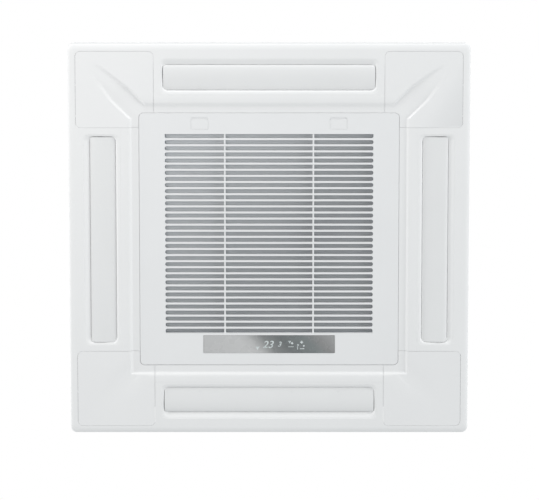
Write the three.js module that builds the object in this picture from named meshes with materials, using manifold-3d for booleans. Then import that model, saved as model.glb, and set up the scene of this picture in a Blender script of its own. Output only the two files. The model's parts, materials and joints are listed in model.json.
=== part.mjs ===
// Ceiling cassette air conditioner: a body above the ceiling and a square panel with four louvres below it.
// Millimetres, +Z up. The origin lies on the fan's axis, in the plane of the ceiling's underside.
// Seen from below with the display at the near edge, +X is to the right and the display is on the +Y side.

import * as THREE from 'three';
import { mergeVertices } from 'three/addons/utils/BufferGeometryUtils.js';
import Module from 'manifold-3d';

const wasm = await Module();
wasm.setup();

// Clearances
const fitGap = 0.3; // between pieces that touch
const seamGap = 0.7; // visible joint lines on the panel
const overlap = 0.5; // how far fused features run into each other
const mergeTolerance = 0.001; // faces flat to this are made one

// Panel
const panelHalf = 475;
const panelDrop = 22; // from the ceiling down to the face
const panelCorner = 20;
const panelWall = 2.5;
const panelBorder = 17.5; // from the panel's edge to the corner covers
const edgeRound = 4;
const faceZ = -panelDrop;
const sealWidth = 16;
const sealDepth = 7;

// Intake grille
const grilleHalf = 308;
const grilleCorner = 11;
const grillePlate = 2.5;
const grilleRound = 2;
const rimHeight = 8.5;
const rimWall = 2.5;
const rimInset = 1;
const fieldHalf = grilleHalf - 61; // the slotted field, and its edges on the latch and display sides
const fieldFar = 51 - grilleHalf;
const fieldNear = grilleHalf - 79;
const slotCount = 33;
const slatWidth = 4.8;
const slatDepth = 8;
const slatDraft = 0.8; // by which a slat narrows on each side towards its back
const barAt = 105;
const barWidth = 4;
const barSet = 0.5; // how far the bars sit behind the slats

// Sunken square round the grille, with a channel that runs out of each corner
const recessDepth = 5;
const recessBevel = 7;
const ringWidth = 17; // flat floor between the grille and the square's sloping side
const recessFaceHalf = grilleHalf + ringWidth + recessBevel;
const channelHalf = 25;
const channelTailHalf = 9;
const channelLength = 118;
const channelTailBevel = 22;
const floorZ = faceZ + recessDepth;

// Corner covers
const coverReach = 34.5; // how far a cover reaches in past the grille's edge
const coverInner = grilleHalf - coverReach;
const coverOuter = panelHalf - panelBorder;
const coverCorner = 12;
const coverRimTop = faceZ + 7.5;
const ledgeThickness = 1.8;
const ledgeWidth = 9;

// Outlets
const slotInner = 359; // from the middle of the panel to the near edge of an outlet
const slotWidth = 80;
const slotOuter = slotInner + slotWidth;
const slotMargin = 10.5; // from the end of an outlet to the covers
const slotHalf = coverInner - slotMargin;
const slotCorner = 12;
const ductInner = slotInner - 6; // the same edges at the top of the panel's duct
const ductOuter = slotOuter - 31;
const ductWall = 2;

// Louvre vanes
const vaneEndGap = 13; // from a vane's end to the end of its outlet
const vaneHalf = slotHalf - vaneEndGap;
const vaneInner = slotInner + 3.5;
const vaneOuterGap = 14.5; // from the vane's outer edge to the far edge of the outlet
const vaneWidth = slotOuter - vaneOuterGap - vaneInner;
const vaneThickness = 2.2;
const vanePivotInset = 22; // from the vane's inner edge to its pivot
const vanePivotZ = faceZ + 14;
const vanePinRadius = 2.4;
const vaneBossRadius = 5.5;

// Hinge of the grille and its latches
const collarTop = floorZ + 13;
const hingeInset = 16;
const hingeRise = 5.5;
const hingePinRadius = 1.8;
const latchAt = 164.5;
const latchWidth = 40;
const latchDepth = 24;
const latchFar = 15 - grilleHalf;
const latchNear = latchFar + latchDepth;
const latchTravel = 4;
const tongueWidth = 14;

// Display on the grille
const displayHalfX = 157;
const displayHalfY = 22;
const displayY = fieldNear + 6 + displayHalfY;
const windowThickness = 1.8;

// Air filter
const filterRim = 10;
const filterMargin = 8;
const filterHeight = 5;
const filterLip = 1.2;
const netInset = 4;

// Body above the ceiling
const bodyHalf = 420;
const bodyChamfer = 62;
const bodyBottom = 15;
const bodyHeight = 245;
const sheet = 1.2;
const bodyTop = bodyBottom + bodyHeight;

// Fan and motor
const fanRadius = 232;
const inletRadius = 148;
const discTop = bodyTop - 30;
const hubBottom = discTop - 92;
const shroudInletZ = 84;
const shroudRimZ = 125;
const bladeCount = 7;
const bladeSweep = 0.62;
const bladeThickness = 3.4;
const turnSteps = 24; // facets round the fan and its inlet
const shaftRadius = 6;
const motorRadius = 70;
const motorTop = bodyTop - 14;
const motorEar = 6.5; // from the motor's top down to its ears
const motorBore = 26;
const isolatorReach = 84;

// Coil round the fan
const coilGap = 30; // between the fan and the coil
const coilInner = fanRadius + coilGap;
const coilThickness = 42;
const coilOuter = coilInner + coilThickness;
const coilCorner = 50;
const coilEnd = coilInner - 47;
const coilTop = bodyTop - 16;
const bendRadius = 10;
const bendTube = 4;
const bendCount = 5;
const endPlate = 3;

// Drain pan and foam liner
const panGap = 1;
const panHeight = 54;
const panBottom = bodyBottom + panGap;
const panTop = panBottom + panHeight;
const panOpening = coilInner - 12;
const ductTopZ = panBottom - 2;
const coilBottom = panBottom + 30;
const outletMargin = 5;
const linerWall = 12;
const motorHole = motorRadius + 35;

// Bell mouth and control box
const bellPlateZ = 36;
const bellWall = 2.3;
const boardThickness = 1.6;
const boxHalfLength = 160;
const boxDepth = 54;
const boxBottom = 6;

// Drain pump and its float
const pumpX = coilOuter + 12;
const pumpY = pumpX + 22;
const spigotX = pumpX + 14;
const spigotZ = panTop + 125;
const spigotRadius = 12.5;
const spigotHole = spigotRadius + 2.5;
const floatReach = 38;

// Pipes and hangers
const pipeY = coilInner + 28;
const gasRadius = 8;
const liquidRadius = 5;
const gasZ = 110;
const liquidZ = 160;
const headerInset = 24; // from the coil's end plate to its headers
const gasLane = coilInner + coilThickness * 0.72;
const liquidLane = coilInner + coilThickness * 0.25;
const pipeDoorHalf = 24;
const pipeDoorRise = 30; // past each pipe, up and down
const pipeEnd = 30; // past the casing's wall
const hangerZ = 100;
const hangerHalf = 36;
const hangerReach = 48;
const hangerPlate = 2.5;
const rodSlot = 13;

const white = { color: 0xebecec, roughness: 0.42, metalness: 0 };
const vaneWhite = { color: 0xe2e3e4, roughness: 0.45, metalness: 0 };
const mechanism = { color: 0xf1f0ea, roughness: 0.5, metalness: 0 };
const greyPlastic = { color: 0x8f9496, roughness: 0.55, metalness: 0 };
const darkPlastic = { color: 0x2b2d2f, roughness: 0.5, metalness: 0 };
const zinc = { color: 0xb4b8ba, roughness: 0.42, metalness: 0.9 };
const steel = { color: 0x9a9ea1, roughness: 0.35, metalness: 1 };
const copper = { color: 0xb8704a, roughness: 0.35, metalness: 1 };
const brass = { color: 0xb8964f, roughness: 0.35, metalness: 1 };
const finMetal = { color: 0xb9c3cc, roughness: 0.4, metalness: 0.9 };
const foam = { color: 0xe9e9e6, roughness: 0.9, metalness: 0 };
const rubber = { color: 0x222222, roughness: 0.85, metalness: 0 };
const netBlack = { color: 0x4a4f52, roughness: 0.8, metalness: 0 };
const smoked = { color: 0x8d9294, roughness: 0.15, metalness: 0.2 };
const boardGreen = { color: 0x2e6b48, roughness: 0.5, metalness: 0 };

// Solids from three.js geometry

function solid(geometry) {
  const plain = geometry.clone();
  plain.deleteAttribute('normal');
  plain.deleteAttribute('uv');
  const merged = mergeVertices(plain, 1e-4);
  const index = merged.index.array;
  const triVerts = [];
  for (let i = 0; i < index.length; i += 3) {
    const [a, b, c] = [index[i], index[i + 1], index[i + 2]];
    if (a !== b && b !== c && a !== c) triVerts.push(a, b, c);
  }
  return new wasm.Manifold(new wasm.Mesh({
    numProp: 3,
    vertProperties: new Float32Array(merged.attributes.position.array),
    triVerts: new Uint32Array(triVerts),
  }));
}

function join(...pieces) {
  return pieces.reduce((sum, piece) => sum.add(piece));
}

function cut(body, ...tools) {
  return tools.reduce((rest, tool) => rest.subtract(tool), body);
}

function block(x0, x1, y0, y1, z0, z1) {
  const box = new THREE.BoxGeometry(x1 - x0, y1 - y0, z1 - z0);
  return solid(box.translate((x0 + x1) / 2, (y0 + y1) / 2, (z0 + z1) / 2));
}

function slab(shape, z0, z1, curveSegments = 4) {
  const settings = { depth: z1 - z0, bevelEnabled: false, curveSegments };
  return solid(new THREE.ExtrudeGeometry(shape, settings).translate(0, 0, z0));
}

// A rod along X, Y or Z between two places, centred on the other two coordinates.
function rod(axis, radius, from, to, u, v, sides = 10) {
  const geometry = new THREE.CylinderGeometry(radius, radius, to - from, sides);
  const middle = (from + to) / 2;
  if (axis === 'x') return solid(geometry.rotateZ(Math.PI / 2).translate(middle, u, v));
  if (axis === 'y') return solid(geometry.translate(u, middle, v));
  return solid(geometry.rotateX(Math.PI / 2).translate(u, v, middle));
}

function turned(profile, segments) {
  const points = profile.map(([radius, z]) => new THREE.Vector2(radius, z));
  return solid(new THREE.LatheGeometry(points, segments).rotateX(Math.PI / 2));
}

function closed(profile) {
  return [...profile, profile[0]];
}

function quarterTurn(body, quarters) {
  return body.rotate([0, 0, quarters * 90]);
}

// Rings of equal length, each counter-clockwise seen from +Z, are skinned from the lowest to the highest.
function loft(rings) {
  const count = rings[0].length;
  const index = [];
  for (let ring = 0; ring + 1 < rings.length; ring += 1) {
    for (let k = 0; k < count; k += 1) {
      const a = ring * count + k;
      const b = ring * count + ((k + 1) % count);
      index.push(a, b, b + count, a, b + count, a + count);
    }
  }
  const outline = rings[0].map(([x, y]) => new THREE.Vector2(x, y));
  const top = (rings.length - 1) * count;
  for (const [a, b, c] of THREE.ShapeUtils.triangulateShape(outline, [])) {
    index.push(c, b, a, top + a, top + b, top + c);
  }
  const geometry = new THREE.BufferGeometry();
  geometry.setAttribute('position', new THREE.Float32BufferAttribute(rings.flat(2), 3));
  geometry.setIndex(index);
  return solid(geometry);
}

// Outlines

function rectRing(x0, x1, y0, y1, radius, z, steps = 2) {
  const corners = [[x1 - radius, y1 - radius, 0], [x0 + radius, y1 - radius, 1],
    [x0 + radius, y0 + radius, 2], [x1 - radius, y0 + radius, 3]];
  const ring = [];
  for (const [cx, cy, quarter] of corners) {
    for (let step = 0; step <= steps; step += 1) {
      const angle = (quarter + step / steps) * Math.PI / 2;
      ring.push([cx + radius * Math.cos(angle), cy + radius * Math.sin(angle), z]);
    }
  }
  return ring;
}

function squareRing(half, radius, z, steps = 2) {
  return rectRing(-half, half, -half, half, radius, z, steps);
}

function shapeOf(ring) {
  return new THREE.Shape(ring.map(([x, y]) => new THREE.Vector2(x, y)));
}

function octagonRing(half, chamfer) {
  const short = half - chamfer;
  return [[half, -short], [half, short], [short, half], [-short, half],
    [-half, short], [-half, -short], [-short, -half], [short, -half]];
}

function octagon(half, chamfer, z0, z1) {
  return slab(shapeOf(octagonRing(half, chamfer)), z0, z1);
}

// Panel

function recessTool(grow) {
  const faceHalf = recessFaceHalf + grow;
  const floorHalf = faceHalf - recessBevel;
  const slope = recessBevel / recessDepth;
  const below = 1;
  const square = loft([
    squareRing(faceHalf + slope * below, 1, faceZ - below, 1),
    squareRing(floorHalf, 1, floorZ + grow, 1),
  ]);
  return join(square, ...[0, 1, 2, 3].map((quarter) => quarterTurn(channelTool(grow, below), quarter)));
}

// The channel's section is a trapezium that grows shallower and softer along the diagonal.
function channelTool(grow, below) {
  const cornerAt = (recessFaceHalf - recessBevel) * Math.SQRT2;
  const section = (along, half, bevel, depth) => [
    [-half - bevel - grow, faceZ - below, along],
    [half + bevel + grow, faceZ - below, along],
    [half + grow, faceZ + depth + grow, along],
    [-half - grow, faceZ + depth + grow, along],
  ];
  const body = loft([
    section(cornerAt - 2 * channelHalf, channelHalf, recessBevel, recessDepth),
    section(cornerAt, channelHalf, recessBevel, recessDepth),
    section(cornerAt + channelLength, channelTailHalf, channelTailBevel, 0),
  ]);
  const diagonal = new THREE.Matrix4().makeBasis(
    new THREE.Vector3(-Math.SQRT1_2, Math.SQRT1_2, 0),
    new THREE.Vector3(0, 0, 1),
    new THREE.Vector3(Math.SQRT1_2, Math.SQRT1_2, 0),
  );
  return body.transform(diagonal.toArray());
}

// The moulded skin of the whole face, before openings: an outer form less the same form one wall further in.
function faceSkin() {
  const outer = loft([
    squareRing(panelHalf - edgeRound, panelCorner - edgeRound, faceZ, 3),
    squareRing(panelHalf - edgeRound / 3, panelCorner - edgeRound / 3, faceZ + edgeRound / 3, 3),
    squareRing(panelHalf, panelCorner, faceZ + edgeRound, 3),
    squareRing(panelHalf, panelCorner, 0, 3),
  ]);
  const innerHalf = panelHalf - panelWall;
  const inner = loft([
    squareRing(innerHalf - edgeRound / 2, panelCorner - panelWall - edgeRound / 2, faceZ + panelWall),
    squareRing(innerHalf, panelCorner - panelWall, faceZ + panelWall + edgeRound / 2),
    squareRing(innerHalf, panelCorner - panelWall, 1),
  ]);
  return cut(outer, recessTool(0)).subtract(inner.subtract(recessTool(panelWall)));
}

// The outlet on the +X side, its outer wall curving in as it rises.
function ductTool(grow, bottomZ, topZ) {
  const rise = (topZ - faceZ);
  const stations = [0, 0.15, 0.45, 1];
  const rings = stations.map((t) => {
    const outer = slotOuter + (ductOuter - slotOuter) * (1 - (1 - t) ** 2);
    const inner = slotInner + (ductInner - slotInner) * t;
    const z = t === 0 ? bottomZ : faceZ + rise * t;
    return rectRing(inner - grow, outer + grow, -slotHalf - grow, slotHalf + grow, slotCorner, z);
  });
  return loft(rings);
}

// The place of the +X +Y cover, less a gap all round.
function coverShape(gap) {
  const near = coverInner + gap;
  const far = coverOuter - gap;
  const shape = new THREE.Shape();
  shape.moveTo(near, near);
  shape.lineTo(far, near);
  shape.lineTo(far, far - coverCorner);
  shape.absarc(far - coverCorner, far - coverCorner, coverCorner, 0, Math.PI / 2);
  shape.lineTo(near, far);
  return shape;
}

function grilleHole(grow, z0, z1) {
  const half = grilleHalf + seamGap + grow;
  return slab(shapeOf(squareRing(half, grilleCorner + seamGap + grow, 0)), z0, z1);
}

// Pocket for the +X +Y cover: its walls and the ledge that the cover rests on.
function coverPocket() {
  const wall = 2;
  const ledgeBottom = coverRimTop + fitGap;
  const ledgeTop = ledgeBottom + ledgeThickness;
  const outside = block(coverInner - wall, coverOuter + wall, coverInner - wall, coverOuter + wall,
    faceZ + panelWall - overlap, ledgeTop);
  const hole = shapeOf(rectRing(coverInner + ledgeWidth, coverOuter - ledgeWidth,
    coverInner + ledgeWidth, coverOuter - ledgeWidth, ledgeWidth, 0));
  const keep = slab(hole, faceZ - 1, 1).subtract(
    block(0, grilleHalf + 14, 0, grilleHalf + 14, ledgeBottom, 1));
  return cut(outside, slab(coverShape(0), faceZ - 1, ledgeBottom), keep, grilleHole(0, faceZ - 1, 1),
    recessTool(0));
}

function grilleCollar() {
  const ring = grilleHole(ductWall, floorZ + overlap, collarTop).subtract(grilleHole(0, floorZ - 1, 1));
  const belowCovers = [0, 1, 2, 3].map((quarter) => quarterTurn(
    block(coverInner, coverOuter, coverInner, coverOuter, floorZ - 1, coverRimTop + fitGap), quarter));
  return cut(ring, ...belowCovers);
}

function grilleStops() {
  const reach = 8;
  const bottom = floorZ + grillePlate + rimHeight + fitGap;
  const half = grilleHalf + seamGap;
  const spread = grilleHalf - 108;
  return [-1, 1].flatMap((side) => [-spread, 0, spread].map((y) => {
    const [x0, x1] = side > 0 ? [half - reach, half + overlap] : [-half - overlap, -half + reach];
    return block(x0, x1, y - 12, y + 12, bottom, bottom + 1.6);
  }));
}

function makePanelFrame() {
  const quarters = [0, 1, 2, 3];
  const ducts = quarters.map((q) => quarterTurn(ductTool(ductWall, faceZ + overlap, ductTopZ), q));
  const airways = quarters.map((q) => quarterTurn(ductTool(0, faceZ - 1, ductTopZ + 1), q));
  const covers = quarters.map((q) => quarterTurn(slab(coverShape(0), faceZ - 1, coverRimTop + fitGap), q));
  const pockets = quarters.map((q) => quarterTurn(coverPocket(), q));
  const pivots = quarters.map((q) => quarterTurn(
    rod('y', vanePinRadius + 2 * fitGap, -slotHalf - 5, slotHalf + 5, vaneInner + vanePivotInset, vanePivotZ,
      8), q));
  let body = join(faceSkin(), ...ducts);
  body = cut(body, grilleHole(0, faceZ - 1, 1), ...covers);
  body = join(body, ...pockets, grilleCollar(), ...grilleStops());
  return cut(body, ...airways, ...pivots, ...hingeHoles(), ...latchWindows());
}

function hingeHoles() {
  const half = grilleHalf + seamGap;
  const [y, z] = [grilleHalf - hingeInset, floorZ + hingeRise];
  return [rod('x', hingePinRadius + fitGap, half - 1, half + ductWall + 1, y, z),
    rod('x', hingePinRadius + fitGap, -half - ductWall - 1, -half + 1, y, z)];
}

function latchWindows() {
  const [bottom, top] = tongueLevels();
  const half = grilleHalf + seamGap;
  const side = tongueWidth / 2 + seamGap;
  return [-latchAt, latchAt].map((x) => block(
    x - side, x + side, -half - ductWall - 1, -half + 1, bottom - 0.6, top + 0.6));
}

function tongueLevels() {
  const bottom = floorZ + grillePlate + fitGap + 2;
  return [bottom, bottom + 2];
}

function makePanelSeal() {
  const outer = panelHalf - panelWall - fitGap;
  const inner = outer - sealWidth;
  const corner = panelCorner - panelWall;
  const ring = slab(shapeOf(squareRing(outer, corner, 0)), -sealDepth, 0);
  return ring.subtract(slab(shapeOf(squareRing(inner, 4, 0)), -sealDepth - 1, 1));
}

function makeCornerCover() {
  const rim = 2;
  const gap = seamGap / 2;
  const plate = faceSkin().intersect(slab(coverShape(gap), faceZ - 1, 0));
  const outline = slab(coverShape(gap), faceZ + 1, coverRimTop);
  const inside = slab(coverShape(gap + rim), faceZ, 0).subtract(grilleHole(rim, faceZ - 1, 1));
  const walls = cut(outline, inside, recessTool(0));
  return join(plate, walls).subtract(grilleHole(0, faceZ - 1, 1));
}

// Vanes: the section lies in X and Z and runs along Y. The pivot is the mesh's own origin.
function vaneSection() {
  const under = [[0, 9.5], [0.08, 5.6], [0.24, 2.2], [0.48, 0.4], [0.84, 0.4], [1, 3.2]];
  const pivotX = vaneInner + vanePivotInset;
  const lower = under.map(([t, rise]) => [vaneInner + vaneWidth * t - pivotX, faceZ + rise - vanePivotZ]);
  const upper = lower.map(([x, z]) => [x, z + vaneThickness]);
  upper[0][0] += 1;
  upper[upper.length - 1][0] -= 1;
  return [...lower, ...upper.reverse()];
}

function makeVane() {
  const section = vaneSection();
  const ringAt = (y) => section.map(([x, z]) => [x, z, y]);
  const upright = new THREE.Matrix4().makeBasis(
    new THREE.Vector3(1, 0, 0), new THREE.Vector3(0, 0, 1), new THREE.Vector3(0, -1, 0));
  const blade = loft([ringAt(-vaneHalf), ringAt(vaneHalf)]).transform(upright.toArray());
  const plateTop = faceZ - vanePivotZ + vaneThickness;
  const arms = [-1, 1].flatMap((side) => {
    const from = side > 0 ? vaneHalf - 8 : -vaneHalf;
    const boss = rod('y', vaneBossRadius, from, from + 8, 0, 0, 8);
    const web = loft([
      rectRing(-10, 14, from, from + 3, 0.5, plateTop - 1, 1),
      rectRing(-vaneBossRadius + 1, vaneBossRadius - 1, from, from + 3, 0.5, 0, 1),
    ]);
    return [boss, web];
  });
  const bores = [-1, 1].map((side) => rod('y', vanePinRadius + fitGap, side * vaneHalf - 9,
    side * vaneHalf + 9, 0, 0, 8));
  return cut(join(blade, ...arms), ...bores);
}

// Parts at the vanes' ends are drawn beside the pivot of the +X vane, with the pivot as origin.
function makeVaneStepper() {
  const wallOut = slotHalf + ductWall + fitGap;
  const offset = 8;
  const can = rod('y', 12, wallOut + 1.6, wallOut + 18, 0, offset, 16);
  const flange = block(-17, 17, wallOut, wallOut + 2, offset - 6, offset + 6);
  const shaft = rod('y', vanePinRadius, vaneHalf - 7, wallOut + 1, 0, 0, 8);
  const plug = block(-7, 7, wallOut + 3, wallOut + 15, offset + 9, offset + 16);
  return join(can, flange, shaft, plug);
}

function makeVaneBush() {
  const wallOut = -(slotHalf + ductWall + fitGap);
  const flange = rod('y', 7, wallOut - 2, wallOut, 0, 0, 8);
  const pin = rod('y', vanePinRadius, wallOut - 1, -vaneHalf + 7, 0, 0, 8);
  const grip = block(-2, 2, wallOut - 6, wallOut - 1, -5, 5);
  return join(flange, pin, grip);
}

// Grille

function slatSection() {
  const nose = slatWidth / 2;
  return [[-nose, 0], [nose, 0], [nose - slatDraft, slatDepth], [slatDraft - nose, slatDepth]];
}

function makeSlat(y) {
  const section = slatSection();
  const ringAt = (x) => section.map(([u, v]) => [u, v, x]);
  const along = new THREE.Matrix4().makeBasis(
    new THREE.Vector3(0, 1, 0), new THREE.Vector3(0, 0, 1), new THREE.Vector3(1, 0, 0));
  const end = fieldHalf + overlap;
  return loft([ringAt(-end), ringAt(end)]).transform(along.toArray()).translate([0, y, floorZ]);
}

function slatPlaces() {
  const pitch = (fieldNear - fieldFar + slatWidth) / slotCount;
  return Array.from({ length: slotCount - 1 }, (_, k) => fieldFar + (k + 1) * pitch - slatWidth / 2);
}

function grilleFrame() {
  const half = grilleHalf;
  const plateTop = floorZ + grillePlate;
  const plate = loft([
    squareRing(half - grilleRound, grilleCorner - grilleRound, floorZ),
    squareRing(half - grilleRound * 0.3, grilleCorner - grilleRound * 0.3, floorZ + grilleRound * 0.3),
    squareRing(half, grilleCorner, floorZ + grilleRound),
    squareRing(half, grilleCorner, plateTop),
  ]);
  const rimHalf = half - rimInset;
  const rim = slab(shapeOf(squareRing(rimHalf, grilleCorner - rimInset, 0)), plateTop - overlap,
    plateTop + rimHeight)
    .subtract(slab(shapeOf(squareRing(rimHalf - rimWall, grilleCorner - rimInset - rimWall, 0)),
      floorZ, 1));
  const wall = 3;
  const curb = block(-fieldHalf - wall, fieldHalf + wall, fieldFar - wall, fieldNear + wall,
    plateTop - overlap, floorZ + slatDepth);
  const field = block(-fieldHalf, fieldHalf, fieldFar, fieldNear, floorZ - 1, 1);
  return join(plate, rim, curb).subtract(field);
}

function displayBed() {
  const plateTop = floorZ + grillePlate;
  const border = 3;
  const back = block(-displayHalfX - border, displayHalfX + border, displayY - displayHalfY - border + 1,
    displayY + displayHalfY + border, plateTop - overlap, plateTop + 1.6);
  const ledgeZ = floorZ + windowThickness + fitGap;
  const seat = block(-displayHalfX - fitGap, displayHalfX + fitGap, displayY - displayHalfY - fitGap,
    displayY + displayHalfY + fitGap, floorZ - 1, ledgeZ);
  const through = block(-displayHalfX + border, displayHalfX - border, displayY - displayHalfY + border,
    displayY + displayHalfY - border, floorZ - 1, 1);
  return { back, seat, through };
}

function latchOpening(x) {
  const side = latchWidth / 2 + fitGap;
  const far = latchFar - latchTravel - fitGap;
  const shape = shapeOf(rectRing(x - side, x + side, far, latchNear + fitGap, 3, 0));
  return slab(shape, floorZ - 1, floorZ + grillePlate + 1);
}

function tongueNotch(x) {
  const [bottom, top] = tongueLevels();
  const side = tongueWidth / 2 + fitGap;
  return block(x - side, x + side, -grilleHalf - 1, -grilleHalf + rimInset + rimWall + 1, bottom - fitGap,
    top + fitGap);
}

function filterClips() {
  const halfX = fieldHalf + filterMargin + fitGap;
  const top = floorZ + slatDepth + 2 * fitGap + filterHeight;
  const middle = (fieldFar + fieldNear) / 2;
  return [-1, 1].flatMap((side) => [middle - 150, middle + 150].map((y) => {
    const span = (a, b) => (side > 0 ? [a, b] : [-b, -a]);
    const post = block(...span(halfX, halfX + 2.5), y - 8, y + 8, floorZ + grillePlate - overlap, top + 1.2);
    const lip = block(...span(halfX - 3, halfX + 2.5), y - 8, y + 8, top, top + 1.2);
    return join(post, lip);
  }));
}

function makeIntakeGrille() {
  const { back, seat, through } = displayBed();
  const bars = [-barAt, barAt].map((x) => block(x - barWidth / 2, x + barWidth / 2,
    fieldFar - overlap, fieldNear + overlap, floorZ + barSet, floorZ + slatDepth - 1));
  const pinY = grilleHalf - hingeInset;
  const pinZ = floorZ + hingeRise;
  const inner = grilleHalf - rimInset - 1;
  const outer = grilleHalf + seamGap + ductWall;
  const pins = [rod('x', hingePinRadius, inner, outer, pinY, pinZ),
    rod('x', hingePinRadius, -outer, -inner, pinY, pinZ)];
  const body = join(grilleFrame(), back, ...slatPlaces().map(makeSlat), ...bars, ...pins, ...filterClips());
  return cut(body, seat, through, ...[-latchAt, latchAt].flatMap((x) => [latchOpening(x), tongueNotch(x)]));
}

// One latch, drawn about its own middle in X: a thumb button, a hidden flange and a tongue.
function makeLatch() {
  const button = loft([
    rectRing(-latchWidth / 2, latchWidth / 2, latchFar, latchNear, 3, floorZ),
    rectRing(-latchWidth / 2, latchWidth / 2, latchFar, latchNear, 3, floorZ + grillePlate + overlap),
  ]);
  const flangeZ = floorZ + grillePlate + fitGap;
  const flange = block(-latchWidth / 2 - 4, latchWidth / 2 + 4, latchFar - latchTravel - 1, latchNear + 3,
    flangeZ, flangeZ + 1.7);
  const [bottom, top] = tongueLevels();
  const tongue = block(-tongueWidth / 2, tongueWidth / 2, -grilleHalf + 1, latchNear, bottom - 1, top)
    .subtract(block(-tongueWidth, tongueWidth, -grilleHalf, latchFar - latchTravel - 1, bottom - 2, bottom));
  const grips = [0, 1, 2].map((k) => block(-12, 12, latchFar + 8 + 4 * k, latchFar + 9.2 + 4 * k,
    floorZ - 1, floorZ + 0.6));
  return cut(join(button, flange, tongue), ...grips);
}

function makeDisplayWindow() {
  return loft([
    rectRing(-displayHalfX, displayHalfX, displayY - displayHalfY, displayY + displayHalfY, 1.5, floorZ),
    rectRing(-displayHalfX, displayHalfX, displayY - displayHalfY, displayY + displayHalfY, 1.5,
      floorZ + windowThickness),
  ]);
}

function makeDisplayBoard() {
  const z = floorZ + grillePlate + 1.6 + fitGap;
  const board = block(-70, 70, displayY - 20, displayY + 20, z, z + boardThickness);
  const digits = block(-18, 18, displayY - 8, displayY + 8, z - 1.4, z + overlap);
  const plug = block(40, 54, displayY - 5, displayY + 5, z + 1, z + 6);
  return join(board, digits, plug);
}

function filterBox(inset) {
  const halfX = fieldHalf + filterMargin - inset;
  return [-halfX, halfX, fieldFar - filterMargin + inset, fieldNear + filterMargin - inset];
}

function makeFilterFrame() {
  const bottom = floorZ + slatDepth + fitGap;
  const top = bottom + filterHeight;
  const outer = block(...filterBox(0), bottom, top);
  const window = block(...filterBox(filterRim), bottom - 1, top + 1);
  const seat = block(...filterBox(filterRim - netInset), bottom + filterLip, bottom + filterLip + 1.4);
  const [x0, x1, y0, y1] = filterBox(filterRim - 1);
  const thirds = [1 / 3, 2 / 3];
  const ribs = thirds.flatMap((t) => [
    block(x0 + (x1 - x0) * t - 2, x0 + (x1 - x0) * t + 2, y0, y1, bottom + 2.6, top),
    block(x0, x1, y0 + (y1 - y0) * t - 2, y0 + (y1 - y0) * t + 2, bottom + 2.6, top),
  ]);
  return join(cut(outer, window, seat), ...ribs);
}

function makeFilterNet() {
  const bottom = floorZ + slatDepth + fitGap + filterLip + fitGap;
  return block(...filterBox(filterRim - netInset + fitGap), bottom, bottom + 0.8);
}

// Body above the ceiling

function makeCabinet() {
  const shell = octagon(bodyHalf, bodyChamfer, bodyBottom, bodyTop)
    .subtract(octagon(bodyHalf - sheet, bodyChamfer, bodyBottom - 1, bodyTop - sheet));
  const ribs = [45, 135, 225, 315].map((angle) => loft([
    rectRing(150, 420, -9, 9, 8, bodyTop - overlap, 1),
    rectRing(154, 416, -5, 5, 4, bodyTop + 2.5, 1),
  ]).rotate([0, 0, angle]));
  const crown = turned([[0, bodyTop - overlap], [122, bodyTop - overlap], [116, bodyTop + 2.5],
    [0, bodyTop + 2.5]], 24);
  const pipeDoor = block(bodyHalf - 5, bodyHalf + 5, pipeY - pipeDoorHalf, pipeY + pipeDoorHalf,
    gasZ - pipeDoorRise, liquidZ + pipeDoorRise);
  const spigotBore = rod('y', spigotHole, bodyHalf - 5, bodyHalf + 5, spigotX, spigotZ, 12);
  return cut(join(shell, ...ribs, crown), pipeDoor, spigotBore);
}

function makeLiner() {
  const outerHalf = bodyHalf - sheet - fitGap;
  const bottom = panTop + fitGap;
  const top = bodyTop - sheet - fitGap;
  const shell = octagon(outerHalf, bodyChamfer, bottom, top)
    .subtract(octagon(outerHalf - linerWall, bodyChamfer, bottom - 1, top - linerWall));
  const motor = turned([[0, bottom], [motorHole, bottom], [motorHole, top + 1], [0, top + 1]], 24);
  const pipes = block(outerHalf - linerWall - 5, outerHalf + 5, pipeY - pipeDoorHalf, pipeY + pipeDoorHalf,
    gasZ - pipeDoorRise, liquidZ + pipeDoorRise);
  const spigot = rod('y', spigotHole, outerHalf - linerWall - 5, outerHalf + 5, spigotX, spigotZ, 12);
  return cut(shell, motor, pipes, spigot);
}

// A hanger in its own axes: Y points out of the casing's corner, and its face rests on the casing.
function makeHanger() {
  const flange = block(-hangerHalf, hangerHalf, 0, hangerPlate, -52, hangerPlate);
  const shelf = block(-hangerHalf, hangerHalf, 0, hangerReach, 0, hangerPlate);
  const gusset = (x) => {
    const side = new THREE.Shape([[0, -40], [hangerReach - 4, 0], [hangerReach - 4, 1], [0, 1]]
      .map(([y, z]) => new THREE.Vector2(y, z)));
    const toSide = new THREE.Matrix4().makeBasis(
      new THREE.Vector3(0, 1, 0), new THREE.Vector3(0, 0, 1), new THREE.Vector3(1, 0, 0));
    return slab(side, 0, hangerPlate).transform(toSide.toArray()).translate([x, 0, 0]);
  };
  const middle = hangerReach / 2 + 3;
  const slot = slab(shapeOf(rectRing(-rodSlot / 2, rodSlot / 2, middle - 15, hangerReach + 5,
    rodSlot / 2 - 0.1, 0)), -5, 5);
  return join(flange, shelf, gusset(-hangerHalf), gusset(hangerHalf - hangerPlate)).subtract(slot);
}

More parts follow.
